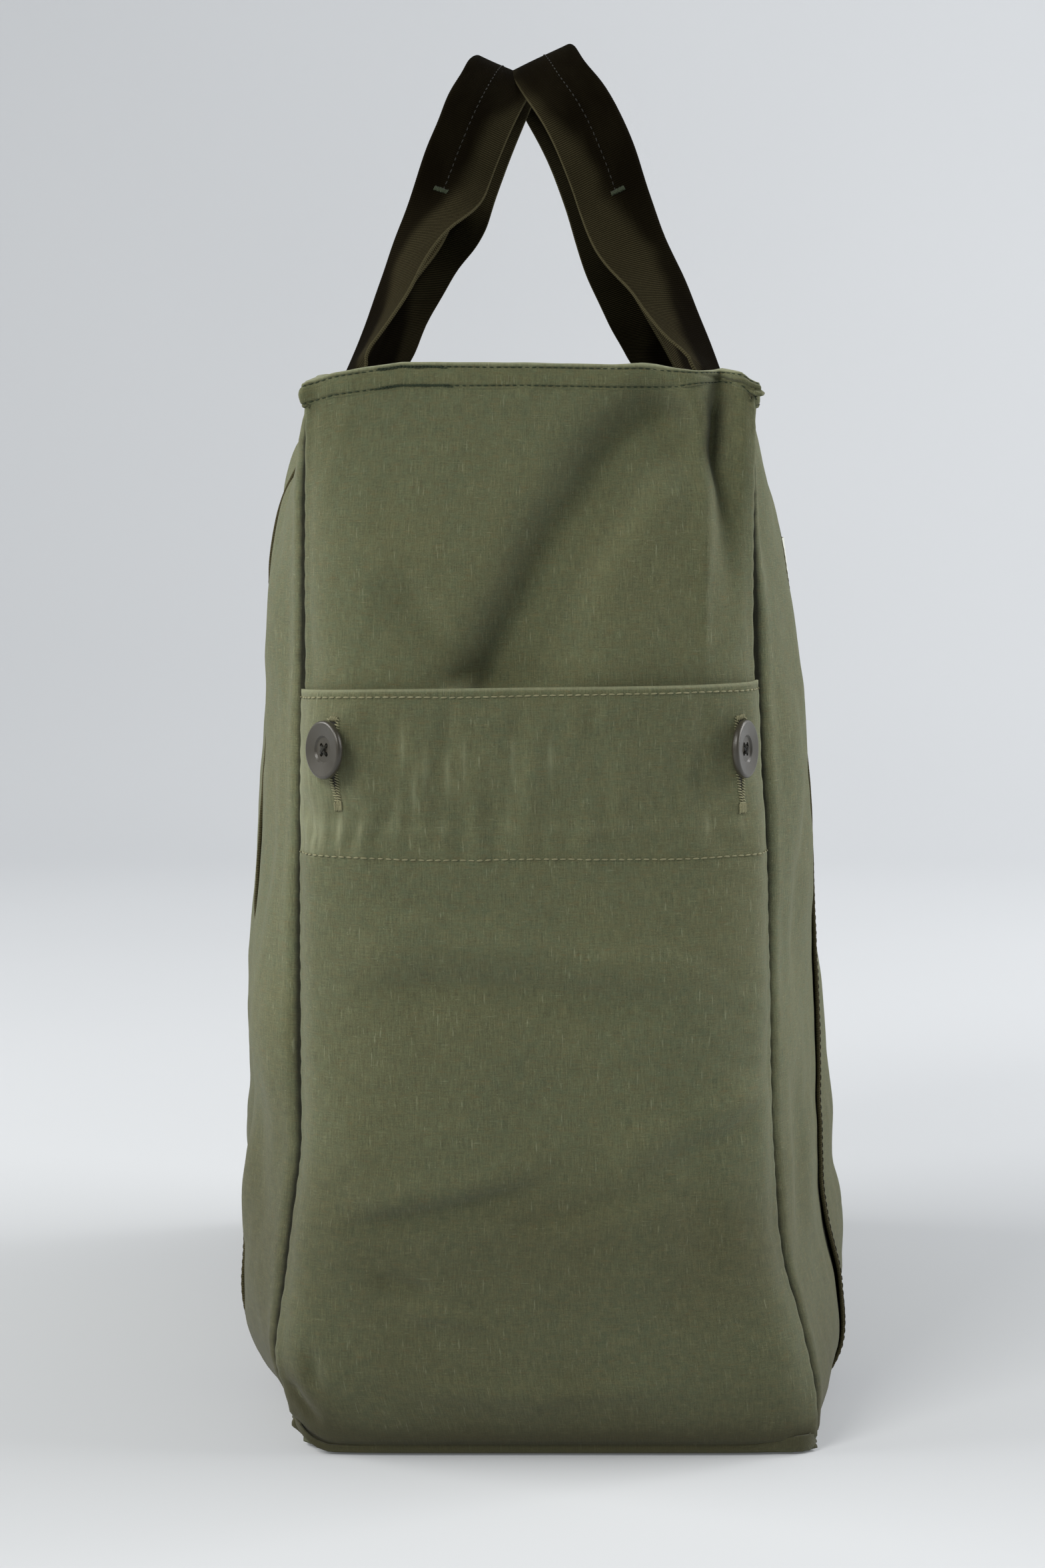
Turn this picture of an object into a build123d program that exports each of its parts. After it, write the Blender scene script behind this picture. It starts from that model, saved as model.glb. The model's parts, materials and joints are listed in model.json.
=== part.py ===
"""Canvas tote bag with buttoned end pockets and two webbing carrying handles.

Frame: X across the narrow end, Y along the bag, Z up. The origin is on the floor, in the middle of
the bag's outer box. The front is the end at -Y. Lengths are in millimetres.
"""

import os
from collections import namedtuple
from math import asin, atan2, cos, degrees, hypot, pi, radians, sin, sqrt, tan

from build123d import *

# Bag body
base_width = 221.0  # across the flat bottom panel, which is also the cut width of an end panel
base_length = 450.0  # along the bottom panel
bag_height = 454.0  # floor to the top of the rim
body_width = 184.0  # between the two upright seams of one end, above the flared foot
flare_low = 20.0  # the foot starts to narrow at this height
flare_high = 150.0  # and has the body's width from this height up
lean = 10.0  # the soft body stands this far to the left of its base
end_belly = 12.0  # each end panel swells this far beyond the base
side_belly = 45.0  # each side panel swells this far beyond its upright seams
rim_draw = 8.0  # the handles draw the middle of each long rim in by this much
corner_radius = 8.0  # tightest upright corner, at the foot and at the tucked rim
tuck_low = 330.0  # the corners start to pinch into the rim's tucks at this height
canvas = 1.0  # thickness of one ply of canvas
ply_gap = 0.3  # air between two plies that are sewn together
hem_depth = 12.0
hem_plies = 3
seam_allowance = 10.0  # width of the bound seam edges inside the bag
binding = 1.6  # thickness of a bound seam edge

# End pockets
pocket_height = 322.0  # floor to the pocket's mouth
pocket_space = 8.0  # how far the pocket stands off the end panel
pocket_rise = 40.0  # the pocket reaches its full depth this far above the bottom seam
facing_depth = 71.0

# Buttons and buttonholes
button_diameter = 24.0
button_thickness = 3.4
button_edge = 1.2  # rounding of the rim's front
button_back_edge = 1.8  # rounding of the rim's back
button_lip = 1.3  # flat width of the rim before it is rounded
button_dish = 11.6  # diameter of the sunk middle
button_slope = 0.7  # the face slopes down by this from the rim to the sunk middle
button_step = 0.7  # and the middle is sunk by this more
button_hole = 2.0  # diameter of a thread hole
button_hole_spacing = 3.6
button_drop = 25.0  # middle of the button below the pocket's mouth
button_stand = 1.6  # back of the button to the cloth
button_turns = {"left": 43.0, "right": 52.0}  # degrees round the corner, from the end to the side
button_tilts = {"left": 9.0, "right": 13.0}  # degrees that it leans on its thread, towards the side
thread = 0.8  # thickness of the sewing thread bars
shank_radius = 1.3
buttonhole_length = 34.0
buttonhole_width = 3.4
buttonhole_drop = 6.4  # middle of the buttonhole below the button
buttonhole_stitch = 2.2  # width of the stitched edge
buttonhole_relief = 0.5  # thickness of the stitched edge

# Webbing
webbing_width = 50.0
webbing = 2.0
strap_spacing = 220.0  # between the middles of the two straps of one side
strap_foot = 2.0  # lower end of the side straps, above the floor
loop_height = 175.0  # pivot to the middle of the grip, along the lean
crest_radius = 60.0
open_leg = 108.0  # length of webbing between the rim and the folded grip
fold_gap = 0.4
swing_gap = 0.7
handle_clearance = 0.5  # each grip to the plane where the two grips meet
bartack_length = 19.0
bartack_width = 2.6
bartack_height = 0.8
bartack_inset = 5.0

# Cloth label, bare
label_height = 25.0
label_length = 40.0
label_thickness = 0.8
label_foot = 355.0
label_front = -45.0  # Y of its sewn edge
label_tilt = 12.0  # degrees that it stands off the side panel

sides = {"left": -1, "right": 1}
ends = {"front": -1, "rear": 1}
wall_top = bag_height - hem_depth
grip_width = webbing_width / 2
grip_thickness = 2 * webbing + fold_gap
dish_floor = button_thickness - button_slope - button_step
seam_stand = 2 * ply_gap + canvas  # pocket to end panel at the upright seams, with the facing between

facing_foot = pocket_height - facing_depth
button_height = pocket_height - button_drop

# Swell of a side panel at shares of the wall's height, as a share of side_belly. The last one is
# the rim, which the handles draw in.
swell = [(0.0, 0.10), (0.05, 0.50), (0.12, 0.80), (0.25, 1.0), (0.4, 0.97), (0.56, 0.90)]
swell += [(0.72, 0.80), (0.85, 0.62), (0.94, 0.36), (1.0, -rim_draw / side_belly)]
fullness_exponent = 2.4  # 2 gives a parabola in plan, and more a fuller side
side_stations = (-1.0, -0.72, -0.38, 0.0, 0.38, 0.72, 1.0)

# The walls run straight from each of these heights to the next
wall_steps = 14
step = (wall_top - canvas) / wall_steps
pocket_steps = [pocket_rise / 2, pocket_rise, facing_foot, pocket_height]
level_heights = sorted([canvas + step * count for count in range(wall_steps + 1)] + pocket_steps)

Level = namedtuple("Level", "z middle half end seam corner bulge")


def step_down(z, low, high):
    """Falls smoothly from 1 at the height low to 0 at the height high."""
    share = min(max((z - low) / (high - low), 0.0), 1.0)
    return (1 + cos(pi * share)) / 2


def between(share, table):
    """Reads a table of (share, value) pairs, with straight lines between them."""
    for (low, first), (high, last) in zip(table, table[1:]):
        if share <= high:
            return first + (last - first) * max(share - low, 0) / (high - low)
    return table[-1][1]


def shape_at(z):
    """Plan of the bag at height z: its middle, half width, ends, upright seams and corners."""
    share = (z - canvas) / (wall_top - canvas)
    foot = step_down(z, flare_low, flare_high)
    half = (body_width + (base_width - body_width) * foot) / 2
    wrapped = (base_width - 2 * half) / (pi - 2)
    pinch = step_down(z, tuck_low, wall_top)
    corner = corner_radius + max(wrapped - corner_radius, 0) * pinch
    end = base_length / 2 + end_belly * sin(pi * share**0.8)
    bulge = side_belly * between(share, swell)
    return Level(z, -lean * (1 - foot), half, end, end - corner, corner, bulge)


def centred(shapes):
    """Moves the levels sideways, so that the left and right straps stand out equally."""
    left = min(shape.middle - shape.half - shape.bulge for shape in shapes)
    right = max(shape.middle + shape.half + shape.bulge for shape in shapes)
    return [shape._replace(middle=shape.middle - (left + right) / 2) for shape in shapes]


levels = centred([shape_at(z) for z in level_heights])


def level(z):
    """Plan of the bag at any height, on the straight runs between the levels."""
    inside = min(max(z, levels[0].z), levels[-1].z)
    for lower, upper in zip(levels, levels[1:]):
        if inside <= upper.z:
            share = (inside - lower.z) / (upper.z - lower.z)
            mixed = [low + (high - low) * share for low, high in zip(lower, upper)]
            return Level(z, *mixed[1:])


def side_x(plan, side, y):
    """X of a side panel's outer face at this level and Y."""
    swollen = plan.bulge * (1 - abs(y / plan.seam) ** fullness_exponent)
    return plan.middle + sides[side] * (plan.half + swollen)


def quarter(centre, radius, side, end):
    """The quarter circle from an upright seam round to the end."""
    x, y = centre
    across, along = sides[side] * radius, ends[end] * radius
    near = sqrt(0.5)
    ThreePointArc((x + across, y), (x + near * across, y + near * along), (x, y + along))


def end_section(plan, end, stand_end, stand_seam, thickness):
    """Section of a layer that wraps an end from seam to seam.

    Its inner face stands off the end panel's outer face by stand_end across the end and by
    stand_seam at the upright seams.
    """
    inner = plan.corner + stand_end
    outer = inner + thickness
    reach = plan.half + stand_seam
    y = ends[end] * plan.seam
    with BuildSketch(Plane.XY.offset(plan.z)) as section:
        with BuildLine():
            for radius in (inner, outer):
                for side, sign in sides.items():
                    quarter((plan.middle + sign * (reach - inner), y), radius, side, end)
                flat = reach - inner
                front = y + ends[end] * radius
                Line((plan.middle - flat, front), (plan.middle + flat, front))
            for sign in sides.values():
                edge = plan.middle + sign * reach
                Line((edge, y), (edge + sign * thickness, y))
        make_face()
    return section.sketch


def side_section(plan, side, thickness):
    """Section of a side panel or of its hem, which runs between the two upright seams."""
    sign = sides[side]
    seam = plan.seam - ply_gap
    outline = [(side_x(plan, side, u * seam), u * seam) for u in side_stations]
    inner = [(x - sign * thickness, y) for x, y in outline]
    with BuildSketch(Plane.XY.offset(plan.z)) as section:
        with BuildLine():
            Spline(*outline)
            Spline(*inner)
            Line(outline[0], inner[0])
            Line(outline[-1], inner[-1])
        make_face()
    return section.sketch


def strap_section(plan, side, y):
    """Section of a webbing strap that lies on the outside of a side panel."""
    sign = sides[side]
    stations = [y + share * webbing_width for share in (-0.5, -0.25, 0.0, 0.25, 0.5)]
    under = [(side_x(plan, side, s) + sign * ply_gap, s) for s in stations]
    over = [(x + sign * webbing, s) for x, s in under]
    with BuildSketch(Plane.XY.offset(plan.z)) as section:
        with BuildLine():
            Spline(*under)
            Spline(*over)
            Line(under[0], over[0])
            Line(under[-1], over[-1])
        make_face()
    return section.sketch


def save(builder, name):
    """Labels a finished piece and writes it."""
    builder.part.label = name
    export_step(builder.part, f"parts/{name}.step")


# Pocket layers

def pocket_stand(z):
    """How far the pocket's inner face stands off the end panel at height z."""
    closed = 2 * ply_gap
    return closed + (pocket_space - closed) * (1 - step_down(z, canvas, pocket_rise))


def facing_stand(z):
    return pocket_stand(z) - ply_gap - canvas


def seat_point(z, side, end, turn):
    """A point on the pocket's outer face, at a height and at degrees round the corner."""
    plan = level(z)
    inner = plan.corner + pocket_stand(z)
    radius = inner + canvas
    x = plan.middle + sides[side] * (plan.half + seam_stand - inner + radius * sin(radians(turn)))
    return Vector(x, ends[end] * (plan.seam + radius * cos(radians(turn))), z)


def seat_plane(side, end, height, stand, tilt=0.0):
    """A plane that stands off the curved pocket, and faces outwards with a tilt towards the side."""
    turn = button_turns[side]
    small = 0.5
    across = seat_point(height, side, end, turn + small) - seat_point(height, side, end, turn - small)
    rise = seat_point(height + small, side, end, turn) - seat_point(height - small, side, end, turn)
    normal = across.cross(rise).normalized()
    if normal.Y * ends[end] < 0:
        normal = -normal
    up = rise.normalized()
    facing = normal.rotate(Axis((0, 0, 0), up), -tilt * sides[side] * ends[end])
    origin = seat_point(height, side, end, turn) + normal * stand
    return Plane(origin, x_dir=up.cross(facing), z_dir=facing)


# Handle geometry, in the leaning plane of each loop

def strap_y(end):
    return ends[end] * strap_spacing / 2


def pivot(side):
    """Where a handle bends at the rim, just outside the side strap."""
    rim = level(bag_height)
    outermost = strap_spacing / 2 + webbing_width / 2
    offset = ply_gap + webbing + swing_gap + webbing / 2
    return Vector(side_x(rim, side, outermost) + sides[side] * offset, 0, bag_height)


def handle_lean():
    """Lean from the upright, in degrees, at which the two grips nearly meet over the bag."""
    reach = abs(pivot("right").X - level(bag_height).middle) - handle_clearance
    top = loop_height + grip_thickness / 2
    return degrees(asin(reach / hypot(top, grip_width / 2)) - atan2(grip_width / 2, top))


def handle_axes(side):
    """Unit vectors of a handle: along the bag, up the lean, and out of its leaning plane."""
    lean_angle = radians(handle_lean())
    sign = sides[side]
    rise = Vector(-sign * sin(lean_angle), 0, cos(lean_angle))
    outward = Vector(sign * cos(lean_angle), 0, sin(lean_angle))
    return Vector(0, 1, 0), rise, outward


def loop_tangent():
    """Angle and length of the straight leg from the rim to the round crest."""
    foot, centre = strap_spacing / 2, loop_height - crest_radius
    distance = hypot(foot, centre)
    angle = atan2(centre, -foot) - asin(crest_radius / distance)
    return angle, sqrt(distance**2 - crest_radius**2)


def loop_point(side, end, along):
    """A point of a handle's middle line, at a distance from the rim along the straight leg."""
    length_axis, rise, _ = handle_axes(side)
    angle, _ = loop_tangent()
    across = ends[end] * (strap_spacing / 2 + along * cos(angle))
    return pivot(side) + length_axis * across + rise * (along * sin(angle))


def leg_plane(side, end, share):
    """Section plane of a leg, which twists a quarter turn from the rim to the grip."""
    length_axis, rise, outward = handle_axes(side)
    angle, _ = loop_tangent()
    if share == 0:
        return Plane(loop_point(side, end, 0), x_dir=length_axis * ends[end], z_dir=rise)
    run = length_axis * (ends[end] * cos(angle)) + rise * sin(angle)
    flat = length_axis * (ends[end] * sin(angle)) - rise * cos(angle)
    turn = radians(90 * share)
    across = flat * cos(turn) - outward * sin(turn)
    return Plane(loop_point(side, end, share * open_leg), x_dir=across, z_dir=run)


def label_axes():
    """Sewn edge of the label on the right side panel, from its foot up, and the way it points."""
    corners = []
    for z in (label_foot, label_foot + label_height):
        plan = level(z)
        corners.append(Vector(side_x(plan, "right", label_front) + ply_gap + label_thickness, label_front, z))
    edge = (corners[1] - corners[0]).normalized()
    plan = level(label_foot)
    ahead = side_x(plan, "right", label_front + label_length) - side_x(plan, "right", label_front)
    slope = atan2(ahead, label_length) + radians(label_tilt)
    return corners[0], edge, Vector(sin(slope), cos(slope), 0)


os.makedirs("parts", exist_ok=True)
rim = level(wall_top)

# Bottom panel
floor = level(0)
with BuildPart() as bottom_panel:
    with BuildSketch(Plane.XY):
        with BuildLine():
            for side, sign in sides.items():
                seams = [(side_x(floor, side, u * floor.seam), u * floor.seam) for u in side_stations]
                Spline(*seams)
                for end, way in ends.items():
                    x = floor.middle + sign * (floor.half - floor.corner)
                    quarter((x, way * floor.seam), floor.corner, side, end)
            for way in ends.values():
                x = floor.half - floor.corner
                Line((floor.middle - x, way * floor.end), (floor.middle + x, way * floor.end))
        make_face()
    extrude(amount=canvas)
save(bottom_panel, "bottom_panel")

# End panels and their hems
for end in ends:
    with BuildPart() as end_panel:
        for plan in levels:
            add(end_section(plan, end, -canvas, -canvas, canvas))
        loft(ruled=True)
    save(end_panel, f"end_panel_{end}")

    band = hem_plies * canvas
    with BuildPart() as rim_hem:
        add(end_section(rim, end, -band, -band, band))
        extrude(amount=hem_depth)
    save(rim_hem, f"rim_hem_{end}")

# Side panels and their hems
for side in sides:
    with BuildPart() as side_panel:
        for plan in levels:
            add(side_section(plan, side, canvas))
        loft(ruled=True)
    save(side_panel, f"side_panel_{side}")

    with BuildPart() as rim_hem:
        add(side_section(rim, side, hem_plies * canvas))
        extrude(amount=hem_depth)
    save(rim_hem, f"rim_hem_{side}")

# Bound seam edges inside: four upright ones and the one round the bottom
inside_floor = canvas + ply_gap
lowest = inside_floor + binding + ply_gap
binding_heights = [lowest] + [z for z in level_heights if lowest < z < wall_top] + [wall_top - ply_gap]
for end, way in ends.items():
    for side, sign in sides.items():
        with BuildPart() as seam_binding:
            for z in binding_heights:
                plan = level(z)
                drawn = sign * (side_x(plan, side, plan.seam - seam_allowance) - plan.middle)
                x = plan.middle + sign * (min(plan.half, drawn) - canvas - ply_gap - binding / 2)
                y = way * (plan.seam - ply_gap - seam_allowance / 2)
                with BuildSketch(Plane((x, y, z))):
                    Rectangle(binding, seam_allowance)
            loft(ruled=True)
        save(seam_binding, f"seam_binding_{end}_{side}")

reach = floor.half - floor.corner
with BuildPart() as bottom_binding:
    with BuildSketch(Plane.XY.offset(inside_floor)):
        Rectangle(2 * reach, 2 * (floor.seam - ply_gap))
        Rectangle(
            2 * (reach - seam_allowance),
            2 * (floor.seam - ply_gap - seam_allowance),
            mode=Mode.SUBTRACT,
        )
    extrude(amount=binding)
save(bottom_binding, "bottom_binding")

# Pockets, their facings, and the buttons that close them
pocket_levels = [plan for plan in levels if plan.z <= pocket_height]
facing_levels = [plan for plan in pocket_levels if plan.z >= facing_foot]
for end in ends:
    slots = [seat_plane(side, end, button_height - buttonhole_drop, 0) for side in sides]

    with BuildPart() as pocket:
        for plan in pocket_levels:
            add(end_section(plan, end, pocket_stand(plan.z), seam_stand, canvas))
        loft(ruled=True)
        for slot in slots:
            with BuildSketch(slot):
                SlotOverall(buttonhole_length, buttonhole_width, rotation=90)
            extrude(amount=2 * pocket_space, both=True, mode=Mode.SUBTRACT)
    save(pocket, f"pocket_{end}")

    with BuildPart() as facing:
        for plan in facing_levels:
            add(end_section(plan, end, facing_stand(plan.z), ply_gap, canvas))
        loft(ruled=True)
        for slot in slots:
            with BuildSketch(slot):
                SlotOverall(buttonhole_length, buttonhole_width, rotation=90)
            extrude(amount=2 * pocket_space, both=True, mode=Mode.SUBTRACT)
    save(facing, f"pocket_facing_{end}")

for end in ends:
    for side in sides:
        name = f"{end}_{side}"
        seat = seat_plane(side, end, button_height, button_stand, button_tilts[side])

        outer, dish = button_diameter / 2, button_dish / 2
        slope_foot = button_thickness - button_slope
        profile = [(0, 0), (outer, 0), (outer, button_thickness)]
        profile += [(outer - button_lip, button_thickness), (dish, slope_foot)]
        profile += [(dish - button_step, dish_floor), (0, dish_floor)]
        with BuildPart() as button:
            with BuildSketch(Plane(seat.origin, x_dir=seat.x_dir, z_dir=-seat.y_dir)) as half:
                with BuildLine():
                    Polyline(*profile, close=True)
                make_face()
                fillet(half.vertices().group_by(Axis.X)[-1].sort_by(Axis.Y)[-1], button_edge)
                fillet(half.vertices().group_by(Axis.X)[-1].sort_by(Axis.Y)[0], button_back_edge)
            revolve(axis=Axis(seat.origin, seat.z_dir))
            with BuildSketch(seat):
                with GridLocations(button_hole_spacing, button_hole_spacing, 2, 2):
                    Circle(button_hole / 2)
            extrude(amount=button_thickness, mode=Mode.SUBTRACT)
        save(button, f"button_{name}")

        bar = hypot(button_hole_spacing, button_hole_spacing)
        with BuildPart() as button_thread:
            with BuildSketch(seat.offset(dish_floor)):
                Rectangle(bar, thread, rotation=45)
                Rectangle(bar, thread, rotation=-45)
            extrude(amount=thread)
        save(button_thread, f"button_thread_{name}")

        backing = seat_plane(side, end, button_height, 0)
        turn = radians(button_turns[side])
        cloth = seam_stand * sin(turn) + pocket_stand(button_height) * (1 - sin(turn))
        tip = button_stand - ply_gap - shank_radius * tan(radians(button_tilts[side]))
        with BuildPart() as shank:
            with BuildSketch(backing.offset(-canvas - cloth + ply_gap)):
                Circle(shank_radius)
            extrude(amount=canvas + cloth - ply_gap + tip)
        save(shank, f"button_shank_{name}")

        hole = seat_plane(side, end, button_height - buttonhole_drop, ply_gap / 2)
        with BuildPart() as buttonhole:
            with BuildSketch(hole):
                SlotOverall(
                    buttonhole_length + 2 * buttonhole_stitch,
                    buttonhole_width + 2 * buttonhole_stitch,
                    rotation=90,
                )
                SlotOverall(buttonhole_length, buttonhole_width, rotation=90, mode=Mode.SUBTRACT)
            extrude(amount=buttonhole_relief)
        save(buttonhole, f"buttonhole_{name}")

# Webbing straps on the side panels
strap_levels = [level(strap_foot)] + [plan for plan in levels if plan.z > strap_foot]
for side in sides:
    for end in ends:
        with BuildPart() as side_strap:
            for plan in strap_levels:
                add(strap_section(plan, side, strap_y(end)))
            loft(ruled=True)
            add(strap_section(rim, side, strap_y(end)))
            extrude(amount=hem_depth)
        save(side_strap, f"side_strap_{side}_{end}")

# Handles: two twisting legs and a folded grip each
angle, straight = loop_tangent()
twists = (0, 0.2, 0.4, 0.6, 0.8, 1)
for side in sides:
    length_axis, rise, outward = handle_axes(side)
    for end in ends:
        with BuildPart() as handle_leg:
            for share in twists:
                width = webbing_width + (grip_width - webbing_width) * share
                thickness = webbing + (grip_thickness - webbing) * share
                with BuildSketch(leg_plane(side, end, share)):
                    Rectangle(width, thickness)
            loft(ruled=True)
        save(handle_leg, f"handle_leg_{side}_{end}")

    feet = [loop_point(side, end, open_leg) for end in ends]
    shoulders = [loop_point(side, end, straight) for end in ends]
    crest = pivot(side) + rise * loop_height
    with BuildPart() as grip:
        with BuildLine() as middle_line:
            Line(feet[0], shoulders[0])
            ThreePointArc(shoulders[0], crest, shoulders[1])
            Line(shoulders[1], feet[1])
        with BuildSketch(Plane(feet[0], x_dir=outward, z_dir=shoulders[0] - feet[0])):
            Rectangle(grip_width, grip_thickness)
        sweep(path=middle_line.wires()[0])
    save(grip, f"handle_grip_{side}")

    with BuildPart() as bartacks:
        for end in ends:
            spot = leg_plane(side, end, 1)
            away = spot.y_dir if spot.y_dir.Y * ends[end] > 0 else -spot.y_dir
            origin = loop_point(side, end, open_leg + bartack_inset) + away * (grip_thickness / 2)
            with BuildSketch(Plane(origin, x_dir=outward, z_dir=away)):
                Rectangle(bartack_length, bartack_width)
            extrude(amount=bartack_height)
    save(bartacks, f"grip_bartacks_{side}")

# Label
corner, edge, ahead = label_axes()
with BuildPart() as label_tag:
    with BuildSketch(Plane(corner, x_dir=ahead, z_dir=edge)):
        Rectangle(label_length, label_thickness, align=(Align.MIN, Align.CENTER))
    extrude(amount=label_height)
save(label_tag, "label_tag")
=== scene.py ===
"""Looks of a canvas tote bag with buttoned end pockets and webbing handles.

Lengths in this file are in millimetres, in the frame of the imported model: X across the narrow ends,
Y along the bag, Z up. They become metres where a mesh is made.
"""

import json
import math
from collections import namedtuple

import bpy
import numpy as np
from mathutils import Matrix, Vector


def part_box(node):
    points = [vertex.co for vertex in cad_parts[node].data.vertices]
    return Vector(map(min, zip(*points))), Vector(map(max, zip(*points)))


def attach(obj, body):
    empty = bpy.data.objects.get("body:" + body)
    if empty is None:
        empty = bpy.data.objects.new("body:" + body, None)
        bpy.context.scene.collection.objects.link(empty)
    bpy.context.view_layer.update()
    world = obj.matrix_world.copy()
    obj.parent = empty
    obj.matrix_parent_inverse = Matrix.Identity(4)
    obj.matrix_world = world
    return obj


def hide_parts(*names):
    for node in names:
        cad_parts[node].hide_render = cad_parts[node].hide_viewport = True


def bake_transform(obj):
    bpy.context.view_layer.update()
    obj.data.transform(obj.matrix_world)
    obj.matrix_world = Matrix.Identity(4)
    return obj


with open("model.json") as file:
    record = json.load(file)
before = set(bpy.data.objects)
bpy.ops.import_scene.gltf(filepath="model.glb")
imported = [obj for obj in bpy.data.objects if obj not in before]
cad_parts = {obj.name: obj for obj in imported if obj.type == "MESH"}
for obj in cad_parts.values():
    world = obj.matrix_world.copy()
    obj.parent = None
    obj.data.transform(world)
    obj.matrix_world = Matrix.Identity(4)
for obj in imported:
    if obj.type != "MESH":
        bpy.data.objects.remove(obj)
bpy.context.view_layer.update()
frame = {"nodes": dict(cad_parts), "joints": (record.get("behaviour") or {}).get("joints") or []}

MM, METRE = 0.001, 1000.0
SIDES = {"left": -1, "right": 1}
ENDS = {"front": -1, "rear": 1}
JOINTS = {joint["name"]: joint for joint in frame["joints"]}

# Cloth and webbing
CANVAS = 1.0
HEM_THICK = 3.0
HEM_DEPTH = 12.0
RIM = 454.0
POCKET_MOUTH = 322.0
FACING_FOOT = 251.0
CLOTH_FOOT, CLOTH_TOP = 0.6, RIM - 0.8  # the panels end just inside the seam and the rim
CUT_HALF = 110.5  # half of an end panel's cut width
SIDE_HALF = 212.0  # half of a side panel's length between its seams
TUCK = 5.6  # how deep an end panel's edge turns in at a seam
SIDE_TUCK = TUCK + 2.2
WEBBING_WIDTH = 50.0
BAND_HALF = WEBBING_WIDTH / 2
WEBBING = 1.7
STRAP_MIDDLE = 110.0
LOOP_HEIGHT = {"left": 160.0, "right": 168.0}  # the loops slump a little under their own weight
HANDLE_LEAN = 26.5  # degrees
CREST_RADIUS = 60.0
OPEN_LEG = 100.0  # length of a leg from the rim to where its grip is sewn shut


# ---------------------------------------------------------------- small maths

def ease(value):
    """Rises smoothly from 0 to 1 while value goes from 0 to 1."""
    value = np.clip(value, 0, 1)
    return value * value * (3 - 2 * value)


def bell(value):
    return np.exp(-np.square(value))


def unit(vectors):
    return vectors / np.maximum(np.linalg.norm(vectors, axis=-1, keepdims=True), 1e-9)


def crossed(rows, columns):
    """Row and column values at each point of a grid."""
    return np.meshgrid(rows, columns, indexing="ij")


def over(table, place):
    """Reads a table of (place, value) pairs along straight lines."""
    places, values = np.array(table, float).T
    return np.interp(place, places, values)


def eased(table, place):
    """Reads a table of (place, value) pairs with rounded corners."""
    return sum(over(table, place + step) * share for step, share in
               ((-9, 0.12), (-4.5, 0.23), (0, 0.3), (4.5, 0.23), (9, 0.12)))


HEIGHTS = np.arange(0.0, 471.0)
BEYOND = 60  # how far a profile is carried on below and above those heights


def profile(*pairs, soft):
    """A smooth curve of a value over height, through (height, value) pairs."""
    heights, values = np.array(pairs, float).T
    reach = np.arange(-BEYOND, len(HEIGHTS) + BEYOND)
    line = np.interp(reach, heights, values)
    below = reach < heights[0]
    line[below] = values[0] + (reach[below] - heights[0]) * ((values[1] - values[0]) / (heights[1] - heights[0]))
    kernel = bell(np.arange(-30, 31) / soft)
    curve = np.convolve(line, kernel / kernel.sum(), "same")[BEYOND:-BEYOND]
    return lambda z: np.interp(z, HEIGHTS, curve)


WAVES = 16  # in a set of ripples


def ripples(x, y, seed, shortest, longest, stretch=1.0):
    """Soft seeded waves with a size of about 1. A stretch over 1 draws them out along y."""
    dice = np.random.default_rng(seed)
    total = np.zeros(np.broadcast(x, y).shape)
    for _ in range(WAVES):
        wave = shortest * (longest / shortest) ** dice.random()
        turn, phase = dice.random(2) * 2 * math.pi
        along = x * math.cos(turn) + y / stretch * math.sin(turn)
        total += np.cos(2 * math.pi / wave * along + phase) * (wave / longest) ** 0.7
    return total / math.sqrt(WAVES / 2)


def waver(places, seed, shortest, longest):
    """Ripples along a line."""
    return ripples(places, places * 0, seed, shortest, longest)


LINE_POINTS = 40  # of a rounded line


def smooth_line(points):
    """A rounded line through a few points (Catmull-Rom)."""
    knots = np.array(points, float)
    knots = np.vstack([2 * knots[0] - knots[1], knots, 2 * knots[-1] - knots[-2]])
    spans = len(knots) - 3
    out = []
    for share in np.linspace(0, spans, LINE_POINTS):
        i = min(int(share), spans - 1)
        t = share - i
        a, b, c, d = knots[i : i + 4]
        out.append(0.5 * (2 * b + (c - a) * t + (2 * a - 5 * b + 4 * c - d) * t**2
                          + (3 * b - a - 3 * c + d) * t**3))
    return np.array(out)


def off_line(x, z, points):
    """Signed distance to a rounded line, and the share along it of the nearest point."""
    line = smooth_line(points)
    best, signed, share = np.full(x.shape, 1e9), np.zeros(x.shape), np.zeros(x.shape)
    count = len(line) - 1
    for i in range(count):
        start, step = line[i], line[i + 1] - line[i]
        t = np.clip(((x - start[0]) * step[0] + (z - start[1]) * step[1]) / (step @ step), 0, 1)
        dx, dz = x - start[0] - t * step[0], z - start[1] - t * step[1]
        far = np.hypot(dx, dz)
        near = far < best
        best = np.where(near, far, best)
        signed = np.where(near, np.where(step[0] * dz - step[1] * dx > 0, 1, -1) * far, signed)
        share = np.where(near, (i + t) / count, share)
    return signed, share


def crease(x, z, points, depth, left, right, head, tail):
    """Height of a fold along a line, which fades in over its head and out over its tail.

    Left and right are its widths as seen walking along it.
    """
    signed, share = off_line(x, z, points)
    fade = ease(share / head) if head else 1.0
    fade = fade * ease((1 - share) / tail) if tail else fade
    return depth * fade * bell(signed / np.where(signed > 0, left, right))


def creased(x, z, table, relief=0.0):
    """Adds each fold of a table to a relief."""
    for fold in table:
        relief = relief + crease(x, z, *fold)
    return relief


# ---------------------------------------------------------------- shape of the bag

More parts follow.
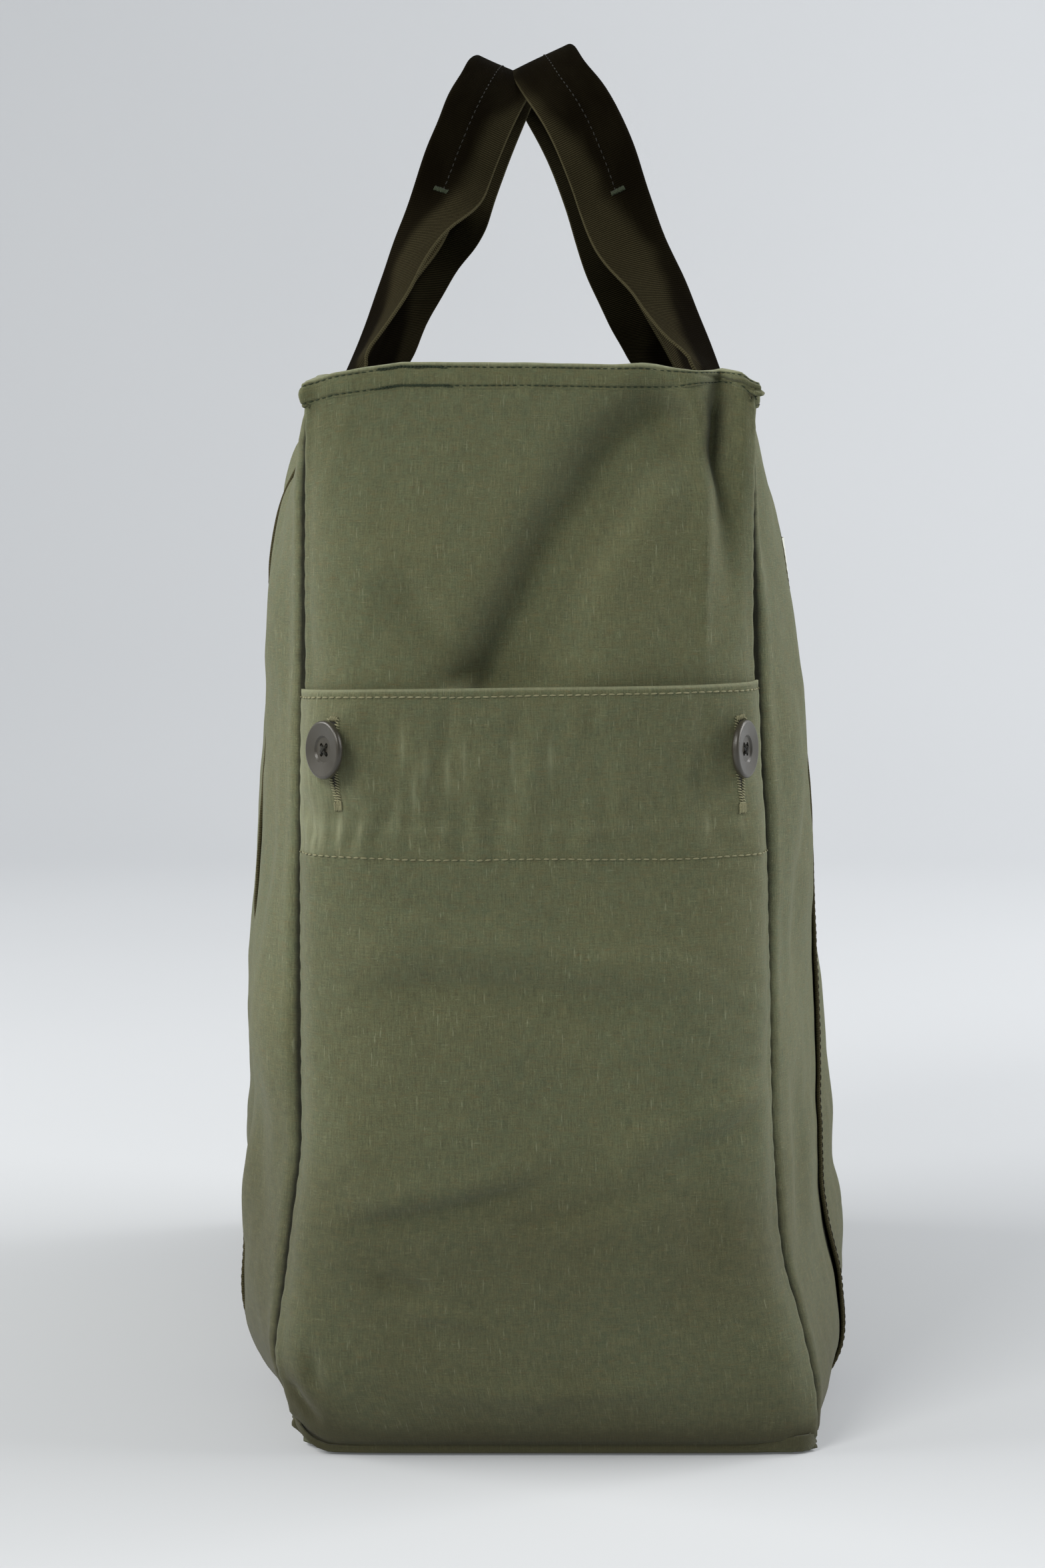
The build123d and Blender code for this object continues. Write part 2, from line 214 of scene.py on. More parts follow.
# X of the upright seams, from the foot to the rim, with the base's middle at X 3.5
left_seam = profile((0, -105.2), (12, -107.2), (22, -110.3), (37, -112.0), (48, -111.0), (70, -107.2),
                    (126, -99.8), (250, -99.8), (400, -98.2), (454, -97.7), soft=5)
right_seam = profile((0, 114.0), (15, 113.8), (26, 112.6), (39, 109.4), (58, 104.6), (76, 99.0),
                     (93, 96.5), (138, 93.2), (195, 92.0), (252, 90.2), (286, 88.2), (340, 85.7),
                     (454, 85.7), soft=5)
# How far the side panels swell beyond those seams
swell = {
    "left": profile((0, 1), (10, 12), (20, 21.5), (40, 28.5), (60, 33.5), (97, 37.5), (160, 38.5), (221, 36),
                    (300, 31), (366, 28), (405, 22), (425, 15), (442, 3), (454, -3), soft=6),
    "right": profile((0, 2), (8, 17), (21, 30), (32, 35), (54, 39), (72, 40.4), (92, 39.4), (132, 38.6),
                     (165, 38.8), (191, 38.4), (234, 36.6), (284, 33.4), (340, 30.4), (353, 29), (382, 21.8),
                     (408, 16), (442, 3), (454, -3), soft=6),
}
end_reach = profile(*[(z, 225 + 12 * math.sin(math.pi * max(z / 442, 0) ** 0.8)) for z in range(0, 442, 17)],
                    (442, 225), (454, 224.5), soft=6)
set_back = profile((0, 9), (30, 17), (70, 26), (130, 31), (330, 32), (400, 22), (442, 11), (454, 9), soft=8)
foot_square = profile((0, 1), (60, 0.4), (120, 0), (380, 0), (454, 0.8), soft=10)
# 1 where the straps hold the middle of a side panel in and its front and rear stand full
held_in = {
    "left": profile((0, 0.0), (30, 0.6), (80, 1.0), (128, 0.85), (165, 1.0), (240, 1), (410, 1), (454, 0.4),
                    soft=12),
    "right": profile((0, 0.0), (60, 0.1), (200, 0.25), (270, 0.9), (330, 1), (400, 1), (454, 0.4), soft=12),
}


def bend(power):
    """Plan of cloth that turns a right angle at both its edges: across and depth over -1 to 1."""
    share = np.linspace(-1, 1, 1601)
    turn = np.sign(share) * np.abs(share) ** power * math.pi / 2
    lines = [np.cumsum(np.cos(turn)), np.cumsum(np.sin(turn))]
    return [share] + [(line - line[800]) / (line[-1] - line[800]) for line in lines]


ROUND, SQUARE = bend(3.0), bend(8.0)


def side_reach(z):
    """Y of a side panel's seams, from the middle of the bag."""
    return end_reach(z) - set_back(z)


def end_wall(z, u, way):
    """Outer face of an end panel before its folds. Across it u goes from -1 to 1, in X's direction."""
    square = foot_square(z)
    across, depth = ((1 - square) * np.interp(u, ROUND[0], ROUND[k]) + square * np.interp(u, SQUARE[0], SQUARE[k])
                     for k in (1, 2))
    low, high = left_seam(z), right_seam(z)
    x = (low + high) / 2 + (high - low) / 2 * across
    y = way * (end_reach(z) - set_back(z) * depth)
    return np.stack(np.broadcast_arrays(x, y, z), -1).astype(float)


def side_wall(z, w, side):
    """Outer face of a side panel before its folds. Along it w goes from -1 at the front to 1."""
    seam = left_seam(z) if side == "left" else right_seam(z)
    y = w * side_reach(z)
    plain = 1 - np.abs(w) ** 2.4
    full = 0.80 * (1 - np.abs(w) ** 8) + 0.20 * (1 - w * w)
    full = full - 0.27 * bell((np.abs(y) - 108) / 42)
    x = seam + SIDES[side] * swell[side](z) * (plain + (full - plain) * held_in[side](z))
    return np.stack(np.broadcast_arrays(x, y, z), -1).astype(float)


def spaced(low, high, coarse, fine, edge):
    """Stations from low to high, close together near both ends."""
    steps = [low]
    while steps[-1] < high:
        near = min(steps[-1] - low, high - steps[-1])
        steps.append(steps[-1] + fine + (coarse - fine) * float(ease(near / edge)))
    steps[-1] = high
    if steps[-1] - steps[-2] < fine / 2:
        del steps[-2]
    return np.array(steps)


def normals_of(points, outward):
    """Unit normals of a grid of points, on the side that outward points to."""
    normal = unit(np.cross(np.gradient(points, axis=1), np.gradient(points, axis=0)))
    flip = np.sign(np.sum(normal * outward, axis=-1, keepdims=True).mean())
    return normal * (flip or 1)


class Cloth:
    """A piece of cloth as a grid: rows go up, columns go across. It is read at any v and u."""

    def __init__(self, rows, columns, points, outward):
        self.rows, self.columns, self.points = rows, columns, points
        self.normals = normals_of(points, np.array(outward, float))

    def _read(self, table, v, u):
        v, u = np.broadcast_arrays(np.asarray(v, float), np.asarray(u, float))
        i = np.clip(np.searchsorted(self.rows, v) - 1, 0, len(self.rows) - 2)
        j = np.clip(np.searchsorted(self.columns, u) - 1, 0, len(self.columns) - 2)
        a = np.clip((v - self.rows[i]) / (self.rows[i + 1] - self.rows[i]), -1, 2)[..., None]
        b = np.clip((u - self.columns[j]) / (self.columns[j + 1] - self.columns[j]), -1, 2)[..., None]
        low, high = (table[k, j] * (1 - b) + table[k, j + 1] * b for k in (i, i + 1))
        return low * (1 - a) + high * a

    def up(self, v, u):
        return unit(self._read(self.normals, v, u))

    def at(self, v, u, lift=0.0):
        lift = np.asarray(lift, float)
        return self._read(self.points, v, u) + self.up(v, u) * lift[..., None]

    def map(self, shift=(0, 0)):
        """The flat cloth: across and up at each point."""
        v, u = crossed(self.rows, self.columns)
        return np.stack([u + shift[0], v + shift[1]], -1)


# ---------------------------------------------------------------- meshes

def shell(outer, inner):
    """Points and faces of a closed sheet from the grids of its two faces."""
    rows, columns = outer.shape[:2]
    points = np.concatenate([outer.reshape(-1, 3), inner.reshape(-1, 3)])
    index = np.arange(rows * columns).reshape(rows, columns)
    quad = np.stack([index[:-1, :-1], index[:-1, 1:], index[1:, 1:], index[1:, :-1]], -1).reshape(-1, 4)
    back = quad[:, ::-1] + rows * columns
    loop = np.concatenate([index[0, :-1], index[:-1, -1], index[-1, :0:-1], index[:0:-1, 0]])
    after = np.roll(loop, -1)
    rim = np.stack([after, loop, loop + rows * columns, after + rows * columns], -1)
    faces = np.concatenate([quad, back, rim])
    i, j = rows // 2, columns // 2
    a, b, c, below = outer[i, j], outer[i, j + 1], outer[i + 1, j], inner[i, j]
    if np.dot(np.cross(b - a, c - a), a - below) < 0:
        faces = faces[:, ::-1]
    return points, faces


def placed(name, data):
    """An object of the scene."""
    made = bpy.data.objects.new(name, data)
    bpy.context.scene.collection.objects.link(made)
    return made


def declared(made, body, slot, stands_for):
    """Says which body a piece rides on and the CAD nodes that it stands for. Its slot is not used."""
    if body:
        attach(made, body)
    if stands_for:
        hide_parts(*stands_for)
    return made


def piece(name, points, faces, finish, body="bag", slot="canvas", stands_for=(), uv=None, marks=None):
    """A finished piece. Its marks are values at its points that its finish reads."""
    mesh = bpy.data.meshes.new(name)
    mesh.vertices.add(len(points))
    mesh.vertices.foreach_set("co", (np.asarray(points) * MM).astype(np.float32).ravel())
    faces = np.asarray(faces)
    sizes = np.where(faces[:, 3] == faces[:, 2], 3, 4)
    corners = faces[np.arange(4)[None] < sizes[:, None]]
    mesh.loops.add(len(corners))
    mesh.loops.foreach_set("vertex_index", corners.astype(np.int32))
    mesh.polygons.add(len(faces))
    mesh.polygons.foreach_set("loop_start", (np.cumsum(sizes) - sizes).astype(np.int32))
    mesh.polygons.foreach_set("use_smooth", np.ones(len(faces), bool))
    mesh.update(calc_edges=True)
    if uv is not None:
        layer = mesh.uv_layers.new(name="cloth")
        layer.data.foreach_set("uv", (uv[corners] * MM).astype(np.float32).ravel())
    for mark, values in (marks or {}).items():
        attribute = mesh.attributes.new(mark, "FLOAT", "POINT")
        attribute.data.foreach_set("value", values.astype(np.float32).ravel())
    mesh.materials.append(finish)
    return declared(placed(name, mesh), body, slot, stands_for)


def sheet_piece(name, outer, inner, finish, uv, marks, **more):
    """A closed sheet between two grids, with the same map and marks on both its faces."""
    marks = {key: np.tile(np.broadcast_to(value, outer.shape[:2]).ravel(), 2) for key, value in (marks or {}).items()}
    return piece(name, *shell(outer, inner), finish, uv=np.tile(uv.reshape(-1, 2), (2, 1)), marks=marks, **more)


def cloth_piece(name, cloth, thick, finish, uv, marks=None, **more):
    """A sheet whose outer face is the cloth's grid, and whose inner face lies thick below it."""
    thick = np.broadcast_to(thick, cloth.points.shape[:2])[..., None]
    return sheet_piece(name, cloth.points, cloth.points - cloth.normals * thick, finish, uv, marks, **more)


STRAND_SIDES = 6


def strand(line, radius):
    """Points and faces of a closed round thread along a line of points."""
    along = unit(np.gradient(line, axis=0))
    guide = np.array([0.0, 0, 1]) if abs(along[:, 2]).mean() < 0.8 else np.array([1.0, 0, 0])
    first = unit(np.cross(along, guide))
    second = np.cross(along, first)
    sides = STRAND_SIDES
    turn = np.arange(sides) * 2 * math.pi / sides
    rings = line[:, None] + radius * (first[:, None] * np.cos(turn)[None, :, None]
                                      + second[:, None] * np.sin(turn)[None, :, None])
    points = np.concatenate([rings.reshape(-1, 3), line[:1], line[-1:]])
    index = np.arange(len(line) * sides).reshape(len(line), sides)
    after = np.roll(index, -1, axis=1)
    body = np.stack([index[:-1], index[1:], after[1:], after[:-1]], -1).reshape(-1, 4)
    head, tail = len(line) * sides, len(line) * sides + 1
    caps = [(index[0, i], after[0, i], head, head) for i in range(sides)]
    caps += [(after[-1, i], index[-1, i], tail, tail) for i in range(sides)]
    return points, np.concatenate([body, np.array(caps)])


def joined(parts):
    """Puts several (points, faces) pairs together."""
    points, faces, base = [], [], 0
    for some_points, some_faces in parts:
        points.append(some_points)
        faces.append(some_faces + base)
        base += len(some_points)
    return np.concatenate(points), np.concatenate(faces)


# ---------------------------------------------------------------- materials

def wired(tree, kind, settings=None, **inputs):
    """Adds a node: its settings, then values or links of its sockets, by name or as in_ and a number."""
    made = tree.nodes.new(kind)
    for key, value in (settings or {}).items():
        setattr(made, key, value)
    for key, value in inputs.items():
        socket = made.inputs[int(key[3:]) if key.startswith("in_") else key.replace("_", " ")]
        value = getattr(value, "socket", value)
        if isinstance(value, bpy.types.NodeSocket):
            tree.links.new(value, socket)
        else:
            socket.default_value = value
    return made


def rgba(value):
    return value if isinstance(value, Value) else (*value, 1.0)


def shade(tone, share):
    return tuple(float(c) for c in np.multiply(tone, share))


class Value:
    """A shader socket that takes part in sums."""

    def __init__(self, finish, socket):
        self.finish, self.socket = finish, socket

    def __add__(self, other):
        return self.finish.sum("ADD", self, other)

    def __radd__(self, other):
        return self.finish.sum("ADD", other, self)

    def __rsub__(self, other):
        return self.finish.sum("SUBTRACT", other, self)

    def __mul__(self, other):
        return self.finish.sum("MULTIPLY", self, other)

    def clipped(self):
        return self.finish.node("ShaderNodeClamp", "Result", Value=self)


class Finish:
    """Builds one material."""

    def __init__(self, name):
        self.material = bpy.data.materials.new(name)
        self.material.use_nodes = True
        self.tree = self.material.node_tree
        self.tree.nodes.clear()

    def node(self, kind, output=0, settings=None, **inputs):
        return Value(self, wired(self.tree, kind, settings, **inputs).outputs[output])

    def sum(self, operation, *values):
        inputs = {f"in_{i}": value for i, value in enumerate(values)}
        return self.node("ShaderNodeMath", settings={"operation": operation}, **inputs)

    def wave(self, value):
        return self.sum("SINE", value)

    def smooth(self, value, low, high):
        """0 at low, 1 at high, and smooth between."""
        return self.node("ShaderNodeMapRange", settings={"interpolation_type": "SMOOTHSTEP"},
                         Value=value, From_Min=low, From_Max=high)

    def mark(self, name):
        """A mark that the mesh carries at its points."""
        return self.node("ShaderNodeAttribute", "Fac", settings={"attribute_name": name})

    def place(self, source="UV"):
        return self.node("ShaderNodeTexCoord", source)

    def split(self, vector):
        made = wired(self.tree, "ShaderNodeSeparateXYZ", Vector=vector)
        return [Value(self, output) for output in made.outputs]

    def stretch(self, place, scale, shift):
        return self.node("ShaderNodeMapping", Vector=place, Scale=scale, Location=shift)

    def noise(self, place, scale, shift=(0, 0, 0), detail=2.0, roughness=0.5, distortion=0.0):
        """Noise with so many waves to a metre along each direction."""
        return self.node("ShaderNodeTexNoise", "Fac", settings={"noise_dimensions": "3D"}, Scale=1.0, Detail=detail,
                         Vector=self.stretch(place, scale, shift), Roughness=roughness, Distortion=distortion)

    def mix(self, share, first, second):
        """Mixes two colours."""
        made = wired(self.tree, "ShaderNodeMix", {"data_type": "RGBA", "blend_type": "MIX"}, in_0=share,
                     in_6=rgba(first), in_7=rgba(second))
        return Value(self, made.outputs[2])

    def layers(self, colour, *layers):
        """Lays colours over a colour, each by a share of a value between its low and high."""
        for value, low, high, share, over_it in layers:
            colour = self.mix(self.smooth(value, low, high) * share, colour, over_it)
        return colour

    def bump(self, height, distance, strength, **below):
        return self.node("ShaderNodeBump", Height=height, Distance=distance, Strength=strength, **below)

    def surface(self, colour, roughness, **fixed):
        shader = wired(self.tree, "ShaderNodeBsdfPrincipled", Base_Color=rgba(colour), Roughness=roughness, **fixed)
        wired(self.tree, "ShaderNodeOutputMaterial", Surface=shader.outputs[0])
        return self.material


ONE_TURN = 2 * math.pi


def canvas_finish(name, tone=(0.122, 0.126, 0.064), worn=1.0):
    """Slubbed plain-weave canvas, washed and worn. Its warp runs along the cloth map's v."""
    f = Finish(name)
    cloth = f.place()
    u, v, _ = f.split(cloth)
    sway = f.noise(cloth, (60, 60, 1), detail=1.0)
    warp = f.wave((u + sway * 0.00035) * (ONE_TURN / 0.00056))
    weft = f.wave((v + sway * 0.00035) * (ONE_TURN / 0.00060))
    threads = warp * weft * 0.5 + 0.5
    # each yarn has its own tone, and thick places that are long along it
    warp_tone = f.noise(cloth, (2150, 130, 1), roughness=0.7)
    weft_tone = f.noise(cloth, (170, 2150, 1), (7, 3, 5), roughness=0.7)
    up_slubs = f.smooth(f.noise(cloth, (1300, 115, 1), (3, 1, 2)), 0.63, 0.76)
    cross_slubs = f.smooth(f.noise(cloth, (150, 1300, 1), (5, 8, 5)), 0.65, 0.78)
    grain = f.noise(cloth, (1500, 1500, 1), (1, 9, 4), roughness=0.7)
    blotch = f.noise(cloth, (230, 310, 1), (2, 5, 1), detail=3.0, roughness=0.65)
    patch = f.noise(cloth, (21, 15, 1), (5, 2, 8), detail=3.0, roughness=0.55)
    broad = f.noise(cloth, (6, 5, 1), (1, 8, 3))
    rust = f.noise(cloth, (170, 900, 1), (8, 3, 3), roughness=0.6)
    light, dark, pale = shade(tone, 1.75), shade(tone, 0.38), (0.30, 0.315, 0.195)

    colour = f.mix(f.smooth(blotch, 0.35, 0.68), tone, shade(tone, (0.90, 1.03, 1.10)))
    colour = f.layers(colour, (patch, 0.38, 0.66, 0.30, shade(tone, (1.25, 1.15, 1.02))),
                      (broad, 0.35, 0.7, 0.25, shade(tone, 0.78)),
                      (warp_tone, 0.48, 0.74, 0.46, light), (weft_tone, 0.50, 0.76, 0.36, light),
                      (warp_tone, 0.50, 0.26, 0.40, dark), (weft_tone, 0.48, 0.26, 0.32, dark))
    colour = f.mix(((0.5 - threads) * 1.6).clipped() * 0.50, colour, dark)
    colour = f.layers(colour, (grain, 0.50, 0.30, 0.34, dark), (grain, 0.52, 0.72, 0.30, light),
                      (rust, 0.56, 0.72, 0.30, shade(tone, (1.35, 0.92, 0.75))))
    rub = (up_slubs * 0.9 + cross_slubs * 0.6) * (0.35 + patch * 0.9)
    colour = f.mix((rub * 0.62 * worn).clipped(), colour, pale)
    specks = f.node("ShaderNodeTexVoronoi", "Distance", settings={"feature": "F1"},
                    Vector=f.stretch(cloth, (300, 210, 1), (4, 4, 4)), Scale=1.0)
    streak = f.noise(cloth, (520, 42, 1), (9, 2, 6), detail=3.0, roughness=0.6)
    # pale flecks; then wear, with painted highlights on some creases and edges; then soil with painted shade, darker
    # low down
    colour = f.layers(colour, (specks, 0.075, 0.03, 0.42, pale),
                      (f.mark("wear") * (0.45 + streak * 1.1), 0.18, 0.95, 0.50, pale),
                      (f.mark("soil") * (0.35 + blotch * 0.7 + patch * 0.5), 0.12, 0.95, 0.75, (0.036, 0.031, 0.014)))
    # the seam mark is painted shade: near black in the grooves of the seams, along the hems' rows of stitches and in
    # the rim's tucks
    colour = f.mix(f.mark("seam") * 0.88, colour, (0.008, 0.008, 0.004))

    relief = (threads * 0.42 + warp_tone * 0.55 + weft_tone * 0.45 + up_slubs * 0.35 + cross_slubs * 0.25
              + grain * 0.2)
    weave = f.bump(relief, 0.00022, 0.9)
    crumple = f.noise(cloth, (75, 60, 1), (2, 2, 6), detail=4.0, roughness=0.55, distortion=0.4)
    return f.surface(colour, 0.93, Normal=f.bump(crumple, 0.0007, 0.5, Normal=weave), Specular_IOR_Level=0.18,
                     Sheen_Weight=0.10, Sheen_Roughness=0.6)


def webbing_finish(name):
    """Heavy webbing with ribs across it: u runs across the band and v along it."""
    tone, lit = (0.0095, 0.0079, 0.0038), (0.056, 0.0475, 0.0245)
    f = Finish(name)
    band = f.place()
    u, v, _ = f.split(band)
    fuzz = f.noise(band, (1200, 700, 1), detail=3.0, roughness=0.7)
    drift = f.noise(band, (90, 60, 1), (3, 7, 1))
    rib = f.wave((v + drift * 0.0004) * (ONE_TURN / 0.00105)) * 0.5 + 0.5
    cord = f.wave((u + drift * 0.0003) * (ONE_TURN / 0.0012)) * 0.5 + 0.5
    patch = f.noise(band, (50, 22, 1), (1, 2, 3), detail=3.0, roughness=0.6)
    colour = f.mix((rib * 0.80 * (0.35 + fuzz)).clipped(), tone, lit)
    # pale worn edges, partly painted highlights of the lit selvedges
    colour = f.layers(colour, (patch, 0.42, 0.7, 0.30, shade(tone, 1.2)),
                      (f.mark("wear") * (0.4 + fuzz * 1.1), 0.2, 0.9, 0.8, (0.080, 0.071, 0.038)),
                      (fuzz, 0.66, 0.8, 0.16, (0.055, 0.048, 0.026)))
    # grime of hands with painted shade, darkest on the grip
    colour = f.mix((f.mark("soil") * (0.70 + patch * 0.5)).clipped() * 0.93, colour, (0.0034, 0.0023, 0.0010))
    normal = f.bump(rib * 0.75 + cord * rib * 0.25 + fuzz * 0.35, 0.00030, 0.9)
    return f.surface(colour, 0.8, Normal=normal, Specular_IOR_Level=0.01)


def thread_finish(name, tone):
    """Twisted sewing thread."""
    f = Finish(name)
    place = f.place("Object")
    fibre = f.noise(place, (2600, 2600, 2600), roughness=0.6)
    tint = f.noise(place, (120, 120, 120))
    colour = f.mix(fibre, shade(tone, 0.62), shade(tone, 1.35))
    colour = f.layers(colour, (tint, 0.4, 0.7, 0.4, shade(tone, 0.7)))
    return f.surface(colour, 0.7, Normal=f.bump(fibre, 0.00012, 0.6), Specular_IOR_Level=0.25, Sheen_Weight=0.1)


def button_finish(name):
    """Moulded brown-grey plastic with fine scratches and a little dust."""
    f = Finish(name)
    place = f.place("Object")
    cloud = f.noise(place, (110, 110, 110), detail=3.0, roughness=0.6)
    fine = f.noise(place, (1700, 1700, 1700), roughness=0.7)
    scratch = f.noise(place, (300, 1400, 300), detail=3.0, roughness=0.7, distortion=0.6)
    colour = f.mix(cloud, (0.030, 0.026, 0.017), (0.046, 0.040, 0.027))
    colour = f.layers(colour, (fine, 0.60, 0.78, 0.28, (0.11, 0.10, 0.075)))
    rough = 0.30 + cloud * 0.16 + f.smooth(scratch, 0.55, 0.75) * 0.14
    normal = f.bump(fine * 0.35 + scratch * 0.25, 0.00006, 0.5)
    return f.surface(colour, rough, Normal=normal, Specular_IOR_Level=0.55, Coat_Weight=0.12, Coat_Roughness=0.25)


def tape_finish(name, tone, pale):
    """Thin woven tape: twill lines across it."""
    f = Finish(name)
    cloth = f.place()
    u, v, _ = f.split(cloth)
    twill = f.wave((u + v) * (ONE_TURN / 0.0009)) * 0.5 + 0.5
    fuzz = f.noise(cloth, (1300, 1300, 1), roughness=0.7)
    patch = f.noise(cloth, (70, 50, 1), detail=3.0)
    colour = f.mix(twill * 0.5 + fuzz * 0.3, tone, pale)
    colour = f.layers(colour, (patch, 0.42, 0.7, 0.35, shade(tone, 0.72)))
    return f.surface(colour, 0.9, Normal=f.bump(twill * 0.6 + fuzz * 0.4, 0.00015, 0.7), Specular_IOR_Level=0.2)


CANVAS_FINISH = canvas_finish("olive_canvas")
POCKET_FINISH = canvas_finish("olive_canvas_pocket", tone=(0.117, 0.121, 0.062))
HEM_FINISH = canvas_finish("olive_canvas_hem", tone=(0.118, 0.122, 0.060), worn=1.1)
WEBBING_FINISH = webbing_finish("brown_webbing")
GREEN_THREAD = thread_finish("dark_green_thread", (0.022, 0.034, 0.014))
KHAKI_THREAD = thread_finish("khaki_thread", (0.235, 0.225, 0.125))
DARK_THREAD_AND_SLIT_SHADE = thread_finish("dark_thread_and_slit_shade", (0.017, 0.016, 0.010))
BARTACK_THREAD = thread_finish("green_thread", (0.030, 0.042, 0.019))
GRIP_THREAD = thread_finish("brown_thread", (0.0100, 0.0092, 0.0050))
PALE_THREAD = thread_finish("pale_thread", (0.42, 0.41, 0.30))
BUTTON_FINISH = button_finish("brown_grey_plastic")
TAPE_FINISH = tape_finish("olive_tape", (0.075, 0.080, 0.046), (0.125, 0.13, 0.082))
LABEL_FINISH = tape_finish("off_white_tape", (0.55, 0.57, 0.50), (0.72, 0.74, 0.67))


# ---------------------------------------------------------------- end panels

# Height of the rim over X, measured from the rim's usual height
RIM_DROOP = {
    "front": ((-99, -8.5), (-96, -6.0), (-86.5, -3.1), (-72.6, -0.9), (-58.7, 1.1), (-9, 0.8), (28, 0.2),
              (40, 0.5), (54, -1.4), (62, -2.3), (75, -1.7), (81.5, -3.1), (87, -9.0)),
    "rear": ((-99, -5.0), (-80, -1.2), (-50, 0.6), (0, 1.0), (45, 0.2), (70, -1.5), (87, -6.5)),
}
# Share of the hem's depth that shows, which shrinks where the rim rolls in
HEM_SHARE = {
    "front": ((-99, 0.86), (-70, 0.95), (0, 0.92), (40, 0.90), (54, 0.72), (62, 0.52), (75, 0.48), (87, 0.6)),
    "rear": ((-99, 0.7), (-80, 0.9), (0, 0.95), (60, 0.92), (87, 0.8)),
}
# Folds: the points of a line, the height, the widths to its left and right, and its shares of fading in and out
END_FOLDS = {
    "front": (
        # the long slack fold from under the rim down to the middle of the pocket's mouth
        ([(60, 446), (30, 421), (16, 402), (1, 378), (-8, 358), (-16, 341), (-22, 325), (-25, 315)],
         -18.0, 25, 12.5, 0.06, 0.10),
        ([(58, 425), (36, 385), (8, 338)], 4.6, 10, 12, 0.3, 0.4),
        ([(-66, 376), (-48, 348), (-32, 322)], -5.4, 6.5, 14, 0.4, 0.1),
        ([(40, 449), (8, 404), (-34, 345)], 1.6, 14, 20, 0.2, 0.5),
        # the pinch under the right corner
        ([(74, 452), (74, 424), (77, 398), (79, 330)], -19.0, 4.6, 7.0, 0.0, 0.75),
        ([(67, 444), (67, 410), (66, 380), (66, 322)], 4.0, 5.5, 6.0, 0.15, 0.6),
        ([(66.5, 398), (66, 360), (66, 322)], 1.3, 2.2, 2.0, 0.3, 0.4),
        ([(-86, 434), (-70, 425), (-50, 428)], -1.0, 7, 5, 0.3, 0.5),
    ),
    "rear": (
        ([(-60, 446), (-36, 400), (-2, 352), (8, 322)], -4.6, 10, 26, 0.05, 0.3),
        ([(-74, 425), (-50, 380), (-28, 335)], 2.2, 14, 13, 0.3, 0.4),
        ([(60, 448), (50, 410), (44, 360)], -2.6, 12, 8, 0.1, 0.6),
        ([(-84, 450), (-84, 415), (-86, 360)], -4.5, 5, 5, 0.02, 0.7),
    ),
}


def end_relief(x, z, end):
    """Folds of an end panel: how far its face stands proud of the plain wall."""
    relief = creased(x, z, END_FOLDS[end])
    seed, near_rim = {"front": (11, 0.6), "rear": (23, 0.35)}[end]
    relief += 0.75 * ripples(x, z, seed, 28, 95, stretch=1.6) + 0.16 * ripples(x, z, seed + 1, 9, 22, stretch=1.5)
    return relief * ease((z - 300) / 26) * (near_rim + (1 - near_rim) * ease((446 - z) / 12))


def edge_move(t, depth, puff, width):
    """How far cloth turns in at a seam, and how far it swells beside it, at t from its edge."""
    return depth * np.exp(-((t / width) ** 1.5)), puff * bell((t - 2.4 * width) / (1.7 * width))


def turned_in(x_way, y_way, inward):
    """The move of cloth that turns in at a seam."""
    ways = np.broadcast_arrays(x_way, y_way, np.zeros_like(inward))
    return unit(np.stack(ways, -1)) * inward[..., None]


def puckered(z, t, seed, size, wave, reach):
    """Little puckers beside a seam, at t from it."""
    return size * np.sin(z / wave + 2.2 * waver(z, seed, 30, 60)) * np.exp(-t / reach) * ease(t / 1.5)


def foot_groove(z):
    """The groove over the bottom seam."""
    return -1.9 * bell((z - 3.6) / 1.5)


def under_rim(z):
    """1 at the rim, fading to 0 below it."""
    return ease((z - 372) / 76)


def corner_lift(x, y):
    """How far the round lower corner at the front's left stands off the floor."""
    left = np.minimum(0.036 * np.maximum(0, -88 - x) ** 2, 15)
    return left * np.exp(-np.maximum(0, y + 214) / 26) + 0.25 * left * np.exp(-np.maximum(0, 214 - y) / 26)


def lifted(points, z):
    """How far cloth near the floor rises at that corner."""
    return corner_lift(points[..., 0], points[..., 1]) * ease((52 - z) / 52)


def end_sheet(rows, columns, end, relief, stand=0.0, edge_stand=None, puff=1.5):
    """A layer of an end: its relief and stand are added to the plain wall."""
    way = ENDS[end]
    z, c = crossed(rows, columns)
    u = c / CUT_HALF
    base = end_wall(z, u, way)
    out = normals_of(base, np.array((0, way, 0.0)))
    t = CUT_HALF * (1 - np.abs(u))
    inward, swell_out = edge_move(t, TUCK, puff, 1.6)
    lift = np.broadcast_to(stand, z.shape).astype(float)
    if edge_stand is not None:
        lift = edge_stand + (lift - edge_stand) * ease(t / 22)
    pucker = puckered(z, t, 5 if end == "front" else 6, 0.32, 1.55, 5.5)
    height = lift + relief(base[..., 0], z) * ease(t / 14) + swell_out + pucker + foot_groove(z)
    points = base + out * height[..., None] + turned_in(-np.sign(u), -0.3 * way, inward)
    points[..., 2] += over(RIM_DROOP[end], base[..., 0]) * under_rim(z) + lifted(base, z)
    return Cloth(rows, columns, points, (0, way, 0))


# Buckles along which a pocket's doubled cloth is rubbed pale, with painted highlights: X, height and half length
RUBBED_AND_LIT_BUCKLES = ((-52, 292, 24), (-47, 280, 22), (-42, 296, 16), (-34, 286, 26), (-27, 296, 18), (-8, 288, 20),
                  (8, 294, 14), (-97, 262, 9), (-91, 259, 8), (-86, 266, 10), (-78, 262, 9), (-70, 258, 6),
                  (70, 268, 9), (84, 262, 8))


